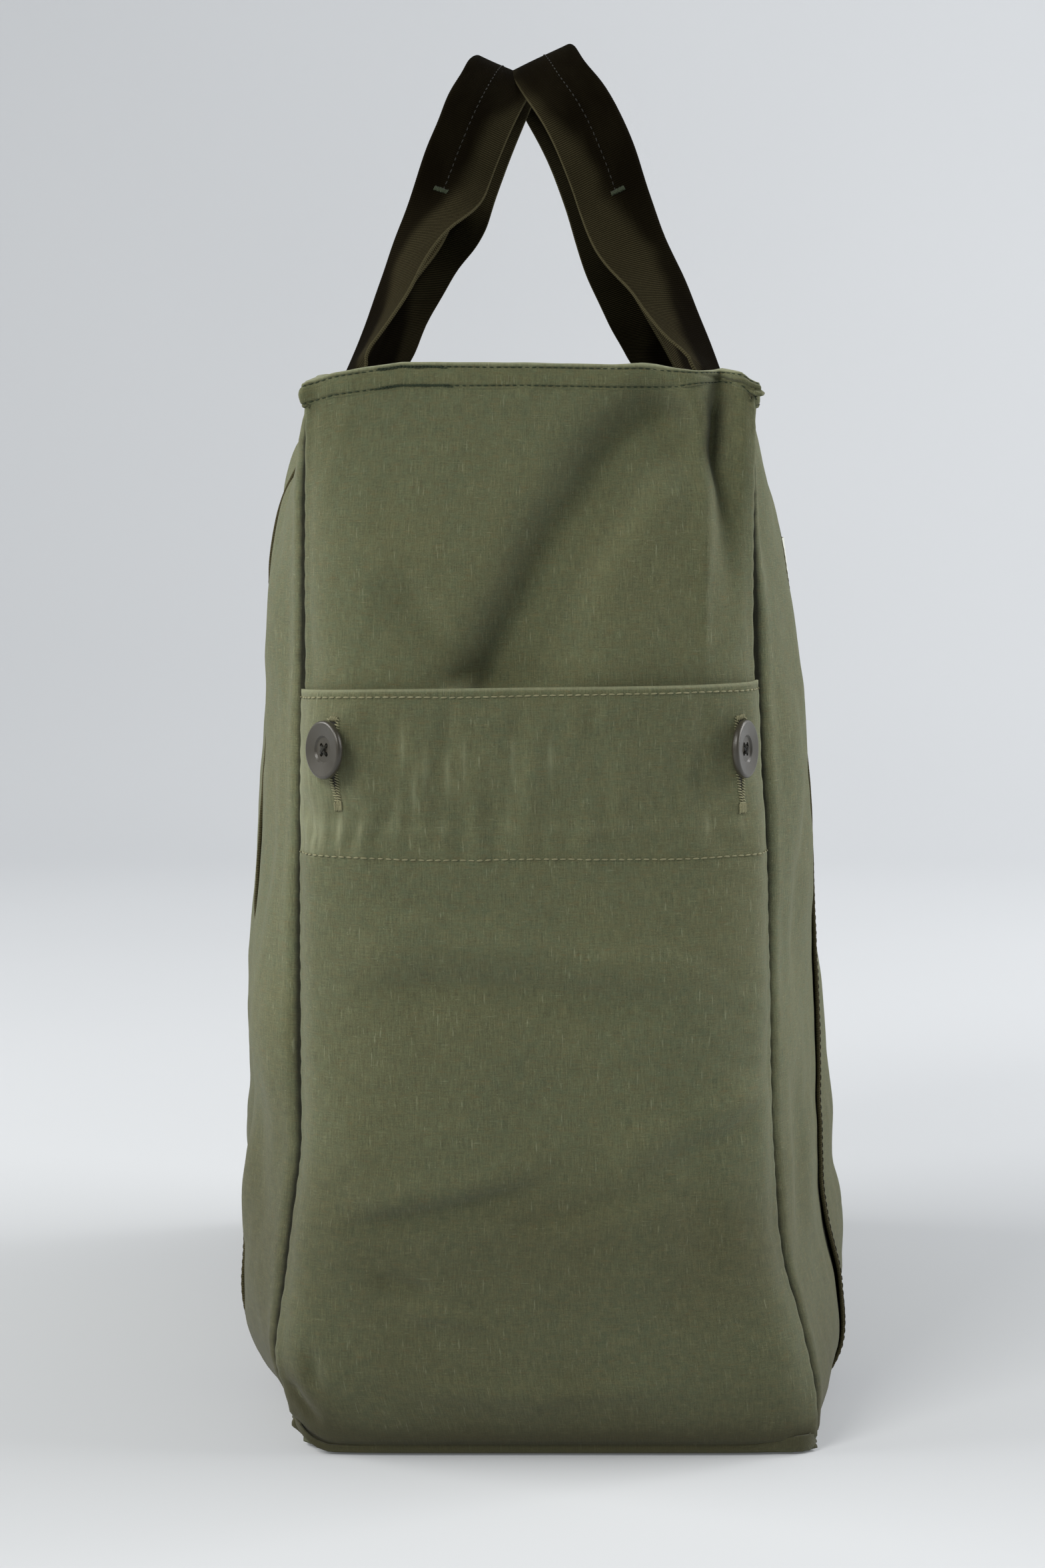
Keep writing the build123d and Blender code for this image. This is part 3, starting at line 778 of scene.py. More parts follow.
def end_marks(cloth, pocket=False):
    """Wear with painted highlights, dirt with painted shade, and painted shade in the seam's groove, of an end panel or
    pocket, at the grid's points.
    """
    z, c = crossed(cloth.rows, cloth.columns)
    t = CUT_HALF - np.abs(c)
    wear = 0.30 * bell((t - 4.5) / 3.0) + 0.22 * bell((z - 12) / 9)
    # darker towards the foot and near the lower left corner
    soil = 0.85 * bell(z / 9) + 0.30 * bell(z / 34) + 0.32 * bell((c + 98) / 18) * bell((z - 12) / 26)
    if pocket:
        facing = ease((z - FACING_FOOT + 1) / 3)
        wear += facing * (0.10 + 0.32 * bell((c + 96) / 24) + 0.16 * bell((z - 285) / 26))
        # a worn pale edge at the mouth; painted highlights along a wrinkle and on the buckles of the facing
        wear += 0.55 * bell((z - POCKET_MOUTH) / 1.2) + 0.12 * bell((z - 265) / 3.0) * ease((z - 252) / 3)
        for x, height, reach in RUBBED_AND_LIT_BUCKLES:
            wear += facing * 0.36 * bell((c - x - 0.08 * (z - height)) / 0.8) * bell((z - height) / reach)
        # painted shade: the pocket below its facing darker towards its foot
        soil += (1 - facing) * (0.30 * ease((150 - z) / 160) + 0.42 * bell((z - 95) / 50))
    else:
        wear += 0.5 * bell((z - RIM) / 6)
    # the seam mark is painted shade in the seam's groove
    return {"wear": np.clip(wear, 0, 1), "soil": np.clip(soil, 0, 1), "seam": ease((3.1 - t) / 1.1)}


END_COLUMNS = spaced(-CUT_HALF, CUT_HALF, 2.2, 0.5, 9)
end_rows = spaced(CLOTH_FOOT, CLOTH_TOP, 2.4, 0.8, 8)
end_cloth, end_pieces = {}, {}
for end, shift in (("front", (0, 0)), ("rear", (900, 300))):
    cloth = end_cloth[end] = end_sheet(end_rows, END_COLUMNS, end, lambda x, z: end_relief(x, z, end))
    end_pieces[end] = cloth_piece(f"end_cloth_{end}", cloth, CANVAS, CANVAS_FINISH, cloth.map(shift), end_marks(cloth),
                                  stands_for=[f"end_panel_{end}"])

# ---------------------------------------------------------------- side panels

# How far the handles draw the long rims in, how deep their straps lie in the panel, and how much shade is painted on
# its lower part
RIM_DRAW = {"left": 9.0, "right": 3.5}
STRAP_HOLLOW = {"left": 4.5, "right": 7.5}
SIDE_LOW_SHADE = {"left": 0.62, "right": 0.50}
# Slack pulled down from the feet of the handles, and two sags between the straps
SIDE_FOLDS = (
    ([(-82, 440), (-50, 400), (-8, 352)], -3.4, 16, 9, 0.1, 0.6),
    ([(84, 440), (56, 404), (22, 366)], -3.0, 9, 15, 0.1, 0.6),
    ([(-140, 444), (-158, 405), (-176, 350)], -3.2, 9, 14, 0.1, 0.6),
    ([(140, 444), (160, 398), (178, 340)], -2.8, 14, 9, 0.1, 0.6),
    ([(-40, 300), (10, 280), (70, 296)], -1.8, 16, 10, 0.4, 0.4),
    ([(-60, 96), (0, 82), (60, 100)], -2.0, 14, 11, 0.4, 0.4),
)


def side_relief(y, z, side):
    """Folds of a side panel."""
    seed, mirror = (31, -1) if side == "left" else (47, 1)
    body = ease(z / 30) * ease((448 - z) / 22)
    relief = 2.6 * ripples(y, z, seed, 90, 230, stretch=1.5) * body
    relief += 0.9 * ripples(y, z, seed + 1, 30, 80, stretch=1.8) * body
    relief += 0.18 * ripples(y, z, seed + 2, 9, 22, stretch=1.6) * body
    # upright buckles beside the upright seams
    for way in (-1, 1):
        bend_at = 170 + 8 * mirror * way
        relief = creased(y * way, z, (
            ([(176, 330), (bend_at, 285), (176, 230), (168, 180)], -2.4, 7, 12, 0.3, 0.4),
            ([(186, 178), (176, 130), (183, 92), (190, 60)], -2.8, 9, 11, 0.3, 0.4),
            ([(150, 150), (160, 105), (150, 55)], 2.2, 12, 12, 0.4, 0.4)), relief)
    return creased(y, z, SIDE_FOLDS, relief)


def side_sheet(rows, columns, side):
    """The cloth of a side. Columns are shares from -1 at the front seam to 1."""
    sign = SIDES[side]
    z, w = crossed(rows, columns)
    base = side_wall(z, w, side)
    out = normals_of(base, np.array((sign, 0, 0.0)))
    t = (1 - np.abs(w)) * SIDE_HALF
    inward, swell_out = edge_move(t, SIDE_TUCK, 1.8, 2.6)
    y = base[..., 1]
    off_strap = np.abs(y) - STRAP_MIDDLE
    pucker = puckered(z, t, 15 if side == "left" else 16, 0.36, 1.6, 6)
    # cloth between the feet of a handle and the corners stands proud of the line that it draws
    draw = RIM_DRAW[side] * bell(off_strap / 62) * ease((z - 385) / 70)
    low_down = ease((432 - z) / 60)
    draw += STRAP_HOLLOW[side] * bell((off_strap + 24 * low_down) / (36 - 6 * low_down)) * ease(z / 60)
    height = side_relief(y, z, side) * ease(t / 16) + swell_out + pucker + foot_groove(z) - draw
    points = base + out * height[..., None] + turned_in(-sign, -0.3 * np.sign(w), inward)
    front, rear = (over(RIM_DROOP[end], sign * 999) for end in ENDS)
    corner_drop = front * np.exp(-np.maximum(0, y + 218) / 26) + rear * np.exp(-np.maximum(0, 218 - y) / 26)
    raised = 2.4 * bell(off_strap / 40) - 3.5 * bell(y / 70)
    points[..., 2] += (corner_drop + raised) * under_rim(z)
    points[..., 2] += lifted(points, z)
    return Cloth(rows, columns, points, (sign, 0, 0))


SIDE_COLUMNS = spaced(-SIDE_HALF, SIDE_HALF, 3.2, 0.5, 12) / SIDE_HALF
side_rows = spaced(CLOTH_FOOT, CLOTH_TOP, 3.0, 0.8, 10)
side_cloth, side_pieces = {}, {}
for side, shift in (("left", 500), ("right", 1500)):
    cloth = side_cloth[side] = side_sheet(side_rows, SIDE_COLUMNS, side)
    z, w = crossed(side_rows, SIDE_COLUMNS)
    t = (1 - np.abs(w)) * SIDE_HALF
    wear = (0.16 * bell((t - 9) / 4) + 0.18 * ease((z - 60) / 200) * ease((420 - z) / 120)
            + 0.4 * bell((z - RIM) / 6))
    # darker towards the foot, with painted shade over the lower part of the panel
    soil = 0.7 * bell(z / 9) + 0.25 * bell(z / 40) + SIDE_LOW_SHADE[side] * ease((270 - z) / 210)
    # its seam mark is painted shade in the grooves of the seams
    side_pieces[side] = cloth_piece(
        f"side_cloth_{side}", cloth, CANVAS, CANVAS_FINISH, np.stack([w * SIDE_HALF + shift, z], -1),
        {"wear": np.clip(wear, 0, 1), "soil": np.clip(soil, 0, 1),
         "seam": ease((5.2 - t) / 1.3) * ease((RIM - 10 - z) / 4)},
        stands_for=[f"side_panel_{side}"])

# ---------------------------------------------------------------- bottom panel

ROLL = 3.4  # how far the edge rolls up against the walls
CORNER = 9.0


def bottom_sheet():
    """The bottom panel: flat, with round corners and its edge rolled up."""
    foot, foot_left, foot_right = (float(line(0)) for line in (end_reach, left_seam, right_seam))
    middle, half = (foot_left + foot_right) / 2, (foot_right - foot_left) / 2 + 0.6
    columns = spaced(-half - ROLL, half + ROLL, 5.0, 0.55, 16)
    rows = spaced(-foot - ROLL, foot + ROLL, 6.0, 0.55, 16)
    y, x = crossed(rows, columns)
    reach = CORNER + ROLL
    s = np.clip((np.abs(x) - (half - CORNER)) / reach, 0, 1)
    t = np.clip((np.abs(y) - (foot - CORNER)) / reach, 0, 1)
    across, along = s * np.sqrt(1 - t * t / 2), t * np.sqrt(1 - s * s / 2)
    far = np.hypot(across, along)
    flat = np.minimum(far * reach, CORNER) / np.maximum(far, 1e-6)
    up = np.maximum(far * reach - CORNER, 0)
    soft = 1.2 * bell((far * reach - CORNER) / 1.6)
    px = np.sign(x) * (np.minimum(np.abs(x), half - CORNER) + across * flat)
    py = np.sign(y) * (np.minimum(np.abs(y), foot - CORNER) + along * flat)
    taller = 1 + 1.1 * bell((px - 104) / 16) * bell((py + foot) / 60) + 0.12 * ripples(px, py, 71, 12, 50)
    pz = 0.15 + up * taller + soft * 0.35 + corner_lift(px + middle, py)
    return Cloth(rows, columns, np.stack([px + middle, py, pz], -1), (0, 0, -1))


bottom = bottom_sheet()
points, faces = shell(bottom.points, bottom.points - bottom.normals * CANVAS)
points[:, 2] = np.maximum(points[:, 2], 0.0)
edge_wear = np.clip((points[:, 2] - 0.8) / 2, 0, 1)
bottom_piece = piece("bottom_cloth", points, faces, CANVAS_FINISH, stands_for=["bottom_panel"],
                     uv=np.tile(bottom.map((3000, 3000)).reshape(-1, 2), (2, 1)),
                     marks={"wear": edge_wear * 0.25, "soil": 0.55 + edge_wear * 0.4})

# ---------------------------------------------------------------- hems of the rim

HEM_ROWS = (0.15, 0.82)  # where the two rows of stitches run, as shares of the hem's depth
# Tucks where the front rim is crumpled into its right corner: start, rise, middle, reach and depth
CORNER_TUCKS = ((0.15, 0.034, 100.5, 6.0, 2.2), (-0.12, 0.045, 105.5, 4.0, 2.4), (0.62, -0.020, 88.0, 9.0, 1.2))


def hem_profile():
    """Shares of a hem's depth from its lower edge up, with the outer face and thickness there."""
    middle = 27
    share = np.concatenate([[0, 0.02, 0.05], np.linspace(0.1, 0.88, middle), [0.93, 0.965, 0.985, 1.0]])
    outer = np.concatenate([[-0.7, -0.15, 0.18], 0.42 + 0.2 * np.sin(np.linspace(0, math.pi, middle)) ** 2,
                            [0.38, 0.1, -0.4, -1.1]])
    # the cloth dips along its rows of stitches
    for row in HEM_ROWS:
        outer = outer - 0.40 * bell((share - row) / 0.045)
    thick = HEM_THICK + np.concatenate([[-0.7, -0.1, 0], np.zeros(middle), [-0.1, -0.5, -1.3, -2.6]])
    return share, outer, np.maximum(thick, 0.35)


def corner_tucks(share, c):
    """Relief of the tucks at the front rim's right corner, and the painted shade in them."""
    relief, dark = 0.0, 0.0
    for start, rise, middle, reach, depth in CORNER_TUCKS:
        away = (share - start - (c - middle + reach) * rise) * HEM_DEPTH
        along = bell((c - middle) / reach)
        relief = relief - depth * along * bell(away / 1.1) + 0.6 * depth * along * bell((away - 3.0) / 1.7)
        # painted shade deep in each tuck
        dark = dark + (0.4 * depth) * along ** 2 * bell(away / 0.55)
    return relief, dark


def hem_piece(panel, row, columns, shown, outward, length, v_shift):
    """One hem: a folded band round the top of its panel, made row by row. Shown is a share of its depth."""
    share, outer, thick = hem_profile()
    base = np.stack([row(RIM - HEM_DEPTH * shown * (1 - one), columns, one) for one in share])
    normal = normals_of(base, np.array(outward, float))
    tuck, dark = corner_tucks(share[:, None], columns[None, :]) if panel == "front" else (0, 0)
    outer_face = base + normal * (outer[:, None] + tuck)[..., None]
    v, u = crossed(share * HEM_DEPTH + v_shift, columns * length)
    # painted shade along the dips of the rows of stitches and in the tucks, carried by the seam mark
    lines = 0.42 * sum(bell((share - row_at) / 0.030) for row_at in HEM_ROWS)[:, None] + dark
    wear = (0.18 + 0.75 * bell((share - 1) / 0.13) + 0.25 * bell(share / 0.06))[:, None]
    made = sheet_piece(f"rim_hem_cloth_{panel}", outer_face, outer_face - normal * thick[:, None, None], HEM_FINISH,
                       np.stack([u, v], -1), {"wear": wear, "soil": 0.0, "seam": np.clip(lines, 0, 1)},
                       stands_for=[f"rim_hem_{panel}"])
    return made, Cloth(share, columns, outer_face, outward)


def hem_row(cloth, way, k, half, scale, knob_size, out_share, side_share, crumple_size, *waves):
    """Makes the rows of a hem, with a knob of folded cloth at both its ends.

    It faces outward along axis k, and half is half its length. Its columns times scale are lengths.
    """

    def row(z, columns, share):
        points = cloth.at(z, columns)
        t = half - scale * np.abs(columns)
        knob = knob_size * bell((t - 2.5) / 4.5) * math.sin(math.pi * (0.15 + 0.7 * share))
        crumple = crumple_size * ripples(columns * scale, columns * 0 + share * 9, *waves)
        if k == 1:
            crumple = crumple * (0.35 + 0.65 * (columns > 55))
        points[:, k] += way * (out_share * knob + crumple)
        points[:, 1 - k] += np.sign(columns) * (side_share * knob) * ease(1 - t / 14)
        return points
    return row


hem_pieces, hem_cloth = {}, {}
for end, way in ENDS.items():
    knob, v_shift = (2.6, 5000) if end == "front" else (1.8, 5400)
    row = hem_row(end_cloth[end], way, 1, CUT_HALF, 1, knob, 0.5, 1.0, 0.5, 83, 9, 30)
    shown = over(HEM_SHARE[end], end_cloth[end].at(450.0, END_COLUMNS)[:, 0])
    hem_pieces[end], hem_cloth[end] = hem_piece(end, row, END_COLUMNS, shown, (0, way, 0), 1.0, v_shift)
for side, sign in SIDES.items():
    row = hem_row(side_cloth[side], sign, 0, SIDE_HALF, SIDE_HALF, 2.4, 0.8, 0.6, 0.45, 85, 12, 40)
    hem_pieces[side], hem_cloth[side] = hem_piece(side, row, SIDE_COLUMNS, np.full(len(SIDE_COLUMNS), 0.94),
                                                  (sign, 0, 0), SIDE_HALF, 5800 if side == "left" else 6400)

# ---------------------------------------------------------------- pockets

POCKET_FOLDS = (
    ([(-88, 97), (-40, 106), (20, 123)], -4.6, 5, 7, 0.3, 0.4),
    ([(-86, 106), (-36, 116), (10, 131)], 3.2, 8, 7, 0.3, 0.4),
    ([(-21, 99), (20, 108), (61, 118)], -3.9, 6, 5, 0.3, 0.4),
    ([(-92, 214), (-30, 216), (30, 210), (70, 204)], 3.4, 8, 10, 0.25, 0.3),
    ([(-84, 198), (-30, 199), (20, 194), (58, 190)], -3.4, 6, 9, 0.25, 0.3),
    ([(-74, 79), (-58, 74), (-42, 71)], -3.0, 3, 4, 0.3, 0.4),
    ([(-62, 66), (-40, 62), (-20, 56)], 2.4, 3, 4, 0.3, 0.4),
    ([(-98, 48), (-96, 36), (-97, 25)], -2.8, 3, 3, 0.3, 0.4),
    ([(-108, 25), (-101, 18), (-92, 12)], -2.8, 3, 3, 0.3, 0.4),
    ([(-70, 30), (0, 28), (70, 32)], 2.6, 6, 7, 0.3, 0.3),
    ([(46, 165), (62, 120), (66, 70)], -3.4, 9, 12, 0.3, 0.4),
    ([(22, 128), (56, 140), (90, 158)], 2.6, 8, 12, 0.3, 0.2),
    ([(30, 118), (62, 131), (92, 148)], -2.2, 6, 6, 0.3, 0.2),
    ([(-96, 232), (-60, 226), (-30, 230)], 1.3, 5, 6, 0.2, 0.4),
)
# Upright buckles in the doubled cloth: X and width
FACING_BUCKLES = ((-72, 4), (-58, 3), (-48, 3), (-28, 4), (-4, 5), (30, 5), (56, 4))
# Short creases that fan up from the row under the left button: X at the foot and at the tip
FACING_FAN = ((-86, -82), (-80, -70), (-92, -97), (-72, -58))
DEEPEST = 3.6  # no fold is so deep that it reaches the panel behind
BEHIND = 1.15  # how far a pocket lies behind its buttons, and its facing inside it


def button_seat(end, side):
    """Back of a button and the way it faces, in millimetres."""
    joint = JOINTS[f"button_{end}_{side}_turn"]
    return np.array(joint["pos_m"]) * METRE, np.array(joint["axis"])


def pocket_relief(x, z, end):
    """Folds of an end pocket. The rear one's are turned round."""
    flip, a, seed = (1, x, 61) if end == "front" else (-1, -x - 14, 67)
    relief = creased(a, z, POCKET_FOLDS)
    facing = ease((z - FACING_FOOT + 4) / 8) * ease((POCKET_MOUTH - 2 - z) / 10)
    relief += facing * 0.55 * ripples(x, z, 91 + flip, 8, 20, stretch=3.4)
    for middle, width in FACING_BUCKLES:
        relief += facing * 1.5 * bell((a - middle - 0.06 * (z - 285)) / (0.7 * width)) * bell((z - 280) / 26)
    for foot, tip in FACING_FAN:
        relief += facing * crease(a, z, [(foot, 256), ((foot + tip) / 2, 268), (tip, 284)], -1.3, 1.6, 2.2, 0.3, 0.4)
    relief += 0.4 * bell((z - 264 - 2 * np.sin(x / 23)) / 2.6) * facing
    relief = np.where(relief < 0, -DEEPEST * np.tanh(-relief / DEEPEST), relief)
    fade = ease((z - 6) / 20) * ease((POCKET_MOUTH + 6 - z) / 30)
    fine = 0.7 * ripples(x, z, seed, 30, 100, stretch=0.8) + 0.18 * ripples(x, z, seed + 1, 9, 22, stretch=0.7)
    return relief + fade * fine


def pocket_sheet(rows, end, drop=0.0):
    """A layer of a pocket. It fills towards its middle, and is buttoned back near its edges."""
    z, c = crossed(rows, END_COLUMNS)
    full = ease((z - 2) / 46)
    gape = 4.2 * bell((c - 52) / 34) * ease((z - 284) / 38) + 1.6 * bell((c + 20) / 60) * ease((z - 270) / 52)
    roll = -1.7 * ease((z - (POCKET_MOUTH - 1.5)) / 1.5)
    points = end_sheet(rows, END_COLUMNS, end, lambda x, z: pocket_relief(x, z, end),
                       stand=1.4 + (3.8 + gape) * full + roll - drop, edge_stand=1.35 - drop, puff=1.3).points
    # the cloth lies just behind each button
    for side in SIDES:
        seat, axis = button_seat(end, side)
        axis = unit(axis)
        near = bell(np.linalg.norm(points - seat, axis=-1) / 17.0)
        closest = np.unravel_index(np.argmax(near), near.shape)
        gap = np.dot(seat - points[closest], axis) - BEHIND - drop
        points = points + axis * (gap * near / near.max())[..., None]
    mouth = over(((-110, -1.9), (-60, -0.3), (0, 0.6), (60, 1.2), (110, 2.0)), c)
    points[..., 2] += mouth * ease((z - 240) / 80) * (1 if end == "front" else -0.6)
    return Cloth(rows, END_COLUMNS, points, (0, ENDS[end], 0))


pocket_rows = np.concatenate([spaced(0.9, POCKET_MOUTH - 2.0, 2.2, 0.8, 8),
                              POCKET_MOUTH + np.array([-1.4, -1.0, -0.65, -0.35, -0.12, 0.05])])
facing_rows = spaced(FACING_FOOT, POCKET_MOUTH - 0.9, 3.0, 1.0, 4)
pocket_cloth, pocket_pieces, facing_pieces = {}, {}, {}
for end, shift in (("front", (140, 60)), ("rear", (700, 900))):
    cloth = pocket_cloth[end] = pocket_sheet(pocket_rows, end)
    pocket_pieces[end] = cloth_piece(f"pocket_cloth_{end}", cloth, CANVAS, POCKET_FINISH, cloth.map(shift),
                                     end_marks(cloth, pocket=True), stands_for=[f"pocket_{end}"])
    facing = pocket_sheet(facing_rows, end, drop=BEHIND)
    facing_pieces[end] = cloth_piece(f"pocket_facing_cloth_{end}", facing, CANVAS, CANVAS_FINISH,
                                     facing.map((40, 1500)), {"wear": 0.2, "soil": 0.0},
                                     stands_for=[f"pocket_facing_{end}"])

# ---------------------------------------------------------------- straps on the sides

BAND_EDGE = np.array([-BAND_HALF, -BAND_HALF + 0.35, -BAND_HALF + 1, -BAND_HALF + 2.5, -BAND_HALF + 5])
strap_rows = spaced(1.2, RIM - 0.2, 3.0, 0.8, 6)
strap_columns = np.concatenate([BAND_EDGE, np.arange(-15, 16, 5), -BAND_EDGE[::-1]])
strap_pieces, strap_cloth = {}, {}
for side, sign in SIDES.items():
    for end, way in ENDS.items():
        z, c = crossed(strap_rows, strap_columns)
        sway = 1.6 * waver(z, 101 + way, 120, 300)
        w = (way * STRAP_MIDDLE + sway * ease(z / 60) * ease((RIM - z) / 60) + c) / side_reach(z)
        # the band bridges the hollows of the soft panel, and its edges curl a little
        under, smooth = side_cloth[side].at(z, w), side_wall(z, w, side)
        proud = np.maximum(0, sign * (smooth[..., 0] - under[..., 0])) * 0.35
        proud = proud * ease((RIM - 14 - z) / 60) * ease((z - 10) / 50)
        lift = 0.35 + np.minimum(proud, 1.6) + 0.5 * ease((z - (RIM - HEM_DEPTH - 1)) / 2)
        curl = 0.5 * np.abs(c / BAND_HALF) ** 3 * (0.5 + 0.5 * ripples(z, c, 111 + way * sign, 40, 110))
        lift = lift + curl * ease((430 - z) / 40)
        strap = Cloth(strap_rows, strap_columns, side_cloth[side].at(z, w, lift), (sign, 0, 0))
        thick = WEBBING * np.interp(BAND_HALF - np.abs(strap_columns), [0, 0.35, 1], [0.45, 0.85, 1])
        strap.points = strap.points + strap.normals * (WEBBING / 2 + thick / 2)[None, :, None]
        strap_cloth[side, end] = strap
        # the pale edges are worn selvedges with painted highlights
        strap_pieces[side, end] = cloth_piece(
            f"strap_{side}_{end}", strap, thick[None, :], WEBBING_FINISH, strap.map(),
            {"wear": np.clip(0.75 * bell((BAND_HALF - np.abs(c)) / 0.9) + 0.12, 0, 1), "soil": 0.0},
            slot="webbing", stands_for=[f"side_strap_{side}_{end}"])

# ---------------------------------------------------------------- handles

FOLD = 8.0  # the grip folds off its middle, and its narrow flap is sewn to its wide half
FOLD_SOFT = 2.4  # half the width over which it turns
# Share of a handle's width, from its inner edge, that hands have left clean and that is painted as its lit part, over
# the distance from the rim
CLEAN_AND_LIT = ((0, 0.34), (30, 0.46), (55, 0.72), (80, 0.60), (100, 0.44), (140, 0.26), (168, 0.04))
# How far each handle's fold stands out of its leaning plane, over the distance from the rim
STAND_OUT = {
    "left": ((0, 3.2), (21, 3.8), (34, 5.0), (57, 8.9), (92, 13.5), (118, 17.4), (143, 19.5), (160, 20.0)),
    "right": ((0, 3.0), (19, 5.2), (38, 6.2), (58, 8.0), (76, 9.1), (95, 11.7), (112, 14.4), (136, 16.5),
              (150, 16.4), (168, 14.8)),
}
# How far each leg is open, in degrees, over the distance from the rim: 90 is flat, 0 is folded
OPENING = {
    ("left", "front"): ((-10, 90), (0, 82), (21, 77), (57, 62), (80, 48), (98, 18), (112, 1)),
    ("left", "rear"): ((-10, 90), (0, 88), (35, 82), (48, 70), (73, 50), (88, 30), (112, 1)),
    ("right", "front"): ((-10, 90), (0, 74), (10, 60), (37, 50), (48, 44), (62, 30), (82, 12), (104, 1)),
    ("right", "rear"): ((-10, 88), (0, 66), (10, 46), (36, 40), (58, 26), (82, 10), (108, 1)),
}
# How far each leg's band turns about its own line, in degrees
TURN = {
    ("left", "front"): ((0, 2), (20, 5), (50, 2), (100, 0)),
    ("left", "rear"): ((-6, 12), (6, 26), (16, 26), (36, 20), (62, 9), (100, 0)),
    ("right", "front"): ((0, 4), (30, 6), (70, 2), (100, 0)),
    ("right", "rear"): ((-6, 8), (8, 14), (36, 10), (70, 2), (100, 0)),
}
Band = namedtuple("Band", "piece points normal lengths widths total")


def fold_section(widths, opening):
    """Section of a band folded lengthwise: (outward, across) of each width, and its direction there.

    The opening is 90 degrees where the band is flat and near 0 where its two parts lie together.
    """
    turn = opening + (math.pi - 2 * opening) * ease((widths - FOLD + FOLD_SOFT) / (2 * FOLD_SOFT))
    steps = np.diff(widths, prepend=widths[0])
    out, across = np.cumsum(np.cos(turn) * steps), np.cumsum(np.sin(turn) * steps)
    at_fold = np.argmin(np.abs(widths - FOLD))
    return out - out[at_fold], across - across[at_fold] + FOLD * math.sin(opening), turn


def handle(side):
    """One handle: a flat band at the rim that folds lengthwise towards its sewn grip."""
    sign = SIDES[side]
    foot_at = (RIM - 0.6, 0.0)
    feet = [strap_cloth[side, end].at(*foot_at)[0] - sign * WEBBING / 2 for end in ENDS]
    base = np.array([sum(feet) / 2, 0, RIM])
    lean = math.radians(HANDLE_LEAN)
    rise = np.array([-sign * math.sin(lean), 0, math.cos(lean)])
    outward = np.array([sign * math.cos(lean), 0, math.sin(lean)])
    # in its own plane a handle is two straight legs and the arc between them
    centre = LOOP_HEIGHT[side] - CREST_RADIUS
    distance = math.hypot(STRAP_MIDDLE, centre)
    leg_turn = math.atan2(centre, -STRAP_MIDDLE) - math.asin(CREST_RADIUS / distance)
    straight = math.sqrt(distance**2 - CREST_RADIUS**2)
    total = 2 * straight + CREST_RADIUS * 2 * (math.pi - leg_turn)
    lengths = np.linspace(-10, total + 10, 240)
    half = BAND_HALF
    widths = np.unique(np.round(np.concatenate([
        [-half, -half + 0.3, -half + 0.9], np.linspace(-half + 2.4, FOLD - 4, 14),
        np.linspace(FOLD - 3, FOLD + 3, 15), np.linspace(FOLD + 4, half - 2.4, 7), [half - 0.9, half - 0.3, half]]), 4))
    points, normal, nearness = [], [], []
    for s in lengths:
        near = min(s, total - s)
        end = "front" if s < total / 2 else "rear"
        ahead = np.array([0, 1.0, 0]) * ENDS[end]
        if near <= straight:
            direction = leg_turn
            reach, up = STRAP_MIDDLE + near * math.cos(leg_turn), near * math.sin(leg_turn)
        else:
            direction = leg_turn + (near - straight) / CREST_RADIUS
            reach, up = CREST_RADIUS * math.sin(direction), centre - CREST_RADIUS * math.cos(direction)
        along = unit(ahead * math.cos(direction) + rise * math.sin(direction))
        inside = -ahead * math.sin(direction) + rise * math.cos(direction)
        # at the rim the band lies on the strap below it
        strap = strap_cloth[side, end]
        seat = strap.at(*foot_at) - strap.up(*foot_at) * (WEBBING / 2)
        low = 1 - float(ease(near / 55))
        middle = base + ahead * reach + rise * up
        middle = middle + (seat - base - ahead * STRAP_MIDDLE) * low
        if near < 0:
            middle = seat + np.array([0, 0, near]) + strap.up(*foot_at) * 0.25
        out, across, turn = fold_section(widths, math.radians(eased(OPENING[side, end], near)))
        facing = unit(outward * (1 - low) + np.array([sign, 0, 0.0]) * low)
        turned = math.radians(eased(TURN[side, end], near))
        o = facing * math.cos(turned) - inside * math.sin(turned)
        n = inside * math.cos(turned) + facing * math.sin(turned)
        middle = middle + facing * eased(STAND_OUT[side], near) * float(ease((near + 6) / 12))
        points.append(middle + out[:, None] * o + across[:, None] * n)
        normal.append(unit(np.cross(np.cos(turn)[:, None] * o + np.sin(turn)[:, None] * n, along * ENDS[end])))
        nearness.append(near)
    points, normal, nearness = np.array(points), np.array(normal), np.array(nearness)
    if np.dot(normal[2, 5], np.array([sign, 0, 0])) < 0:
        normal = -normal
    v, u = crossed(lengths, widths)
    points = points + normal * (0.5 * ripples(v, u, 131 + sign, 26, 110))[..., None] * ease(
        (nearness - 10) / 40)[:, None, None]
    thick = WEBBING * np.interp(half - np.abs(widths), [0, 0.3, 0.9], [0.42, 0.85, 1])[None, :, None]
    # the grip is darkened by hands and by painted shade, most on its outside, and its edges are rubbed pale with
    # painted highlights
    worn = 0.9 * bell((half - np.abs(u)) / 0.7) + 0.08
    inner_share = np.where(u < FOLD, (u + half) / (FOLD + half), (half - u) / (half - FOLD))
    ragged = 0.05 * ripples(v, u, 151 + sign, 14, 60)
    grime_and_shade = ease((inner_share + ragged - eased(CLEAN_AND_LIT, nearness)[:, None]) / 0.26 + 0.5)
    made = sheet_piece(
        f"handle_{side}_band", points + normal * thick / 2, points - normal * thick / 2, WEBBING_FINISH,
        np.stack([u, v], -1), {"wear": np.clip(worn, 0, 1), "soil": grime_and_shade}, body=None, slot="webbing",
        stands_for=[f"handle_leg_{side}_front", f"handle_leg_{side}_rear", f"handle_grip_{side}"])
    return Band(made, points, normal, lengths, widths, total)


handles = {side: handle(side) for side in SIDES}
for side, band in handles.items():
    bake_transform(band.piece)

# ---------------------------------------------------------------- stitches

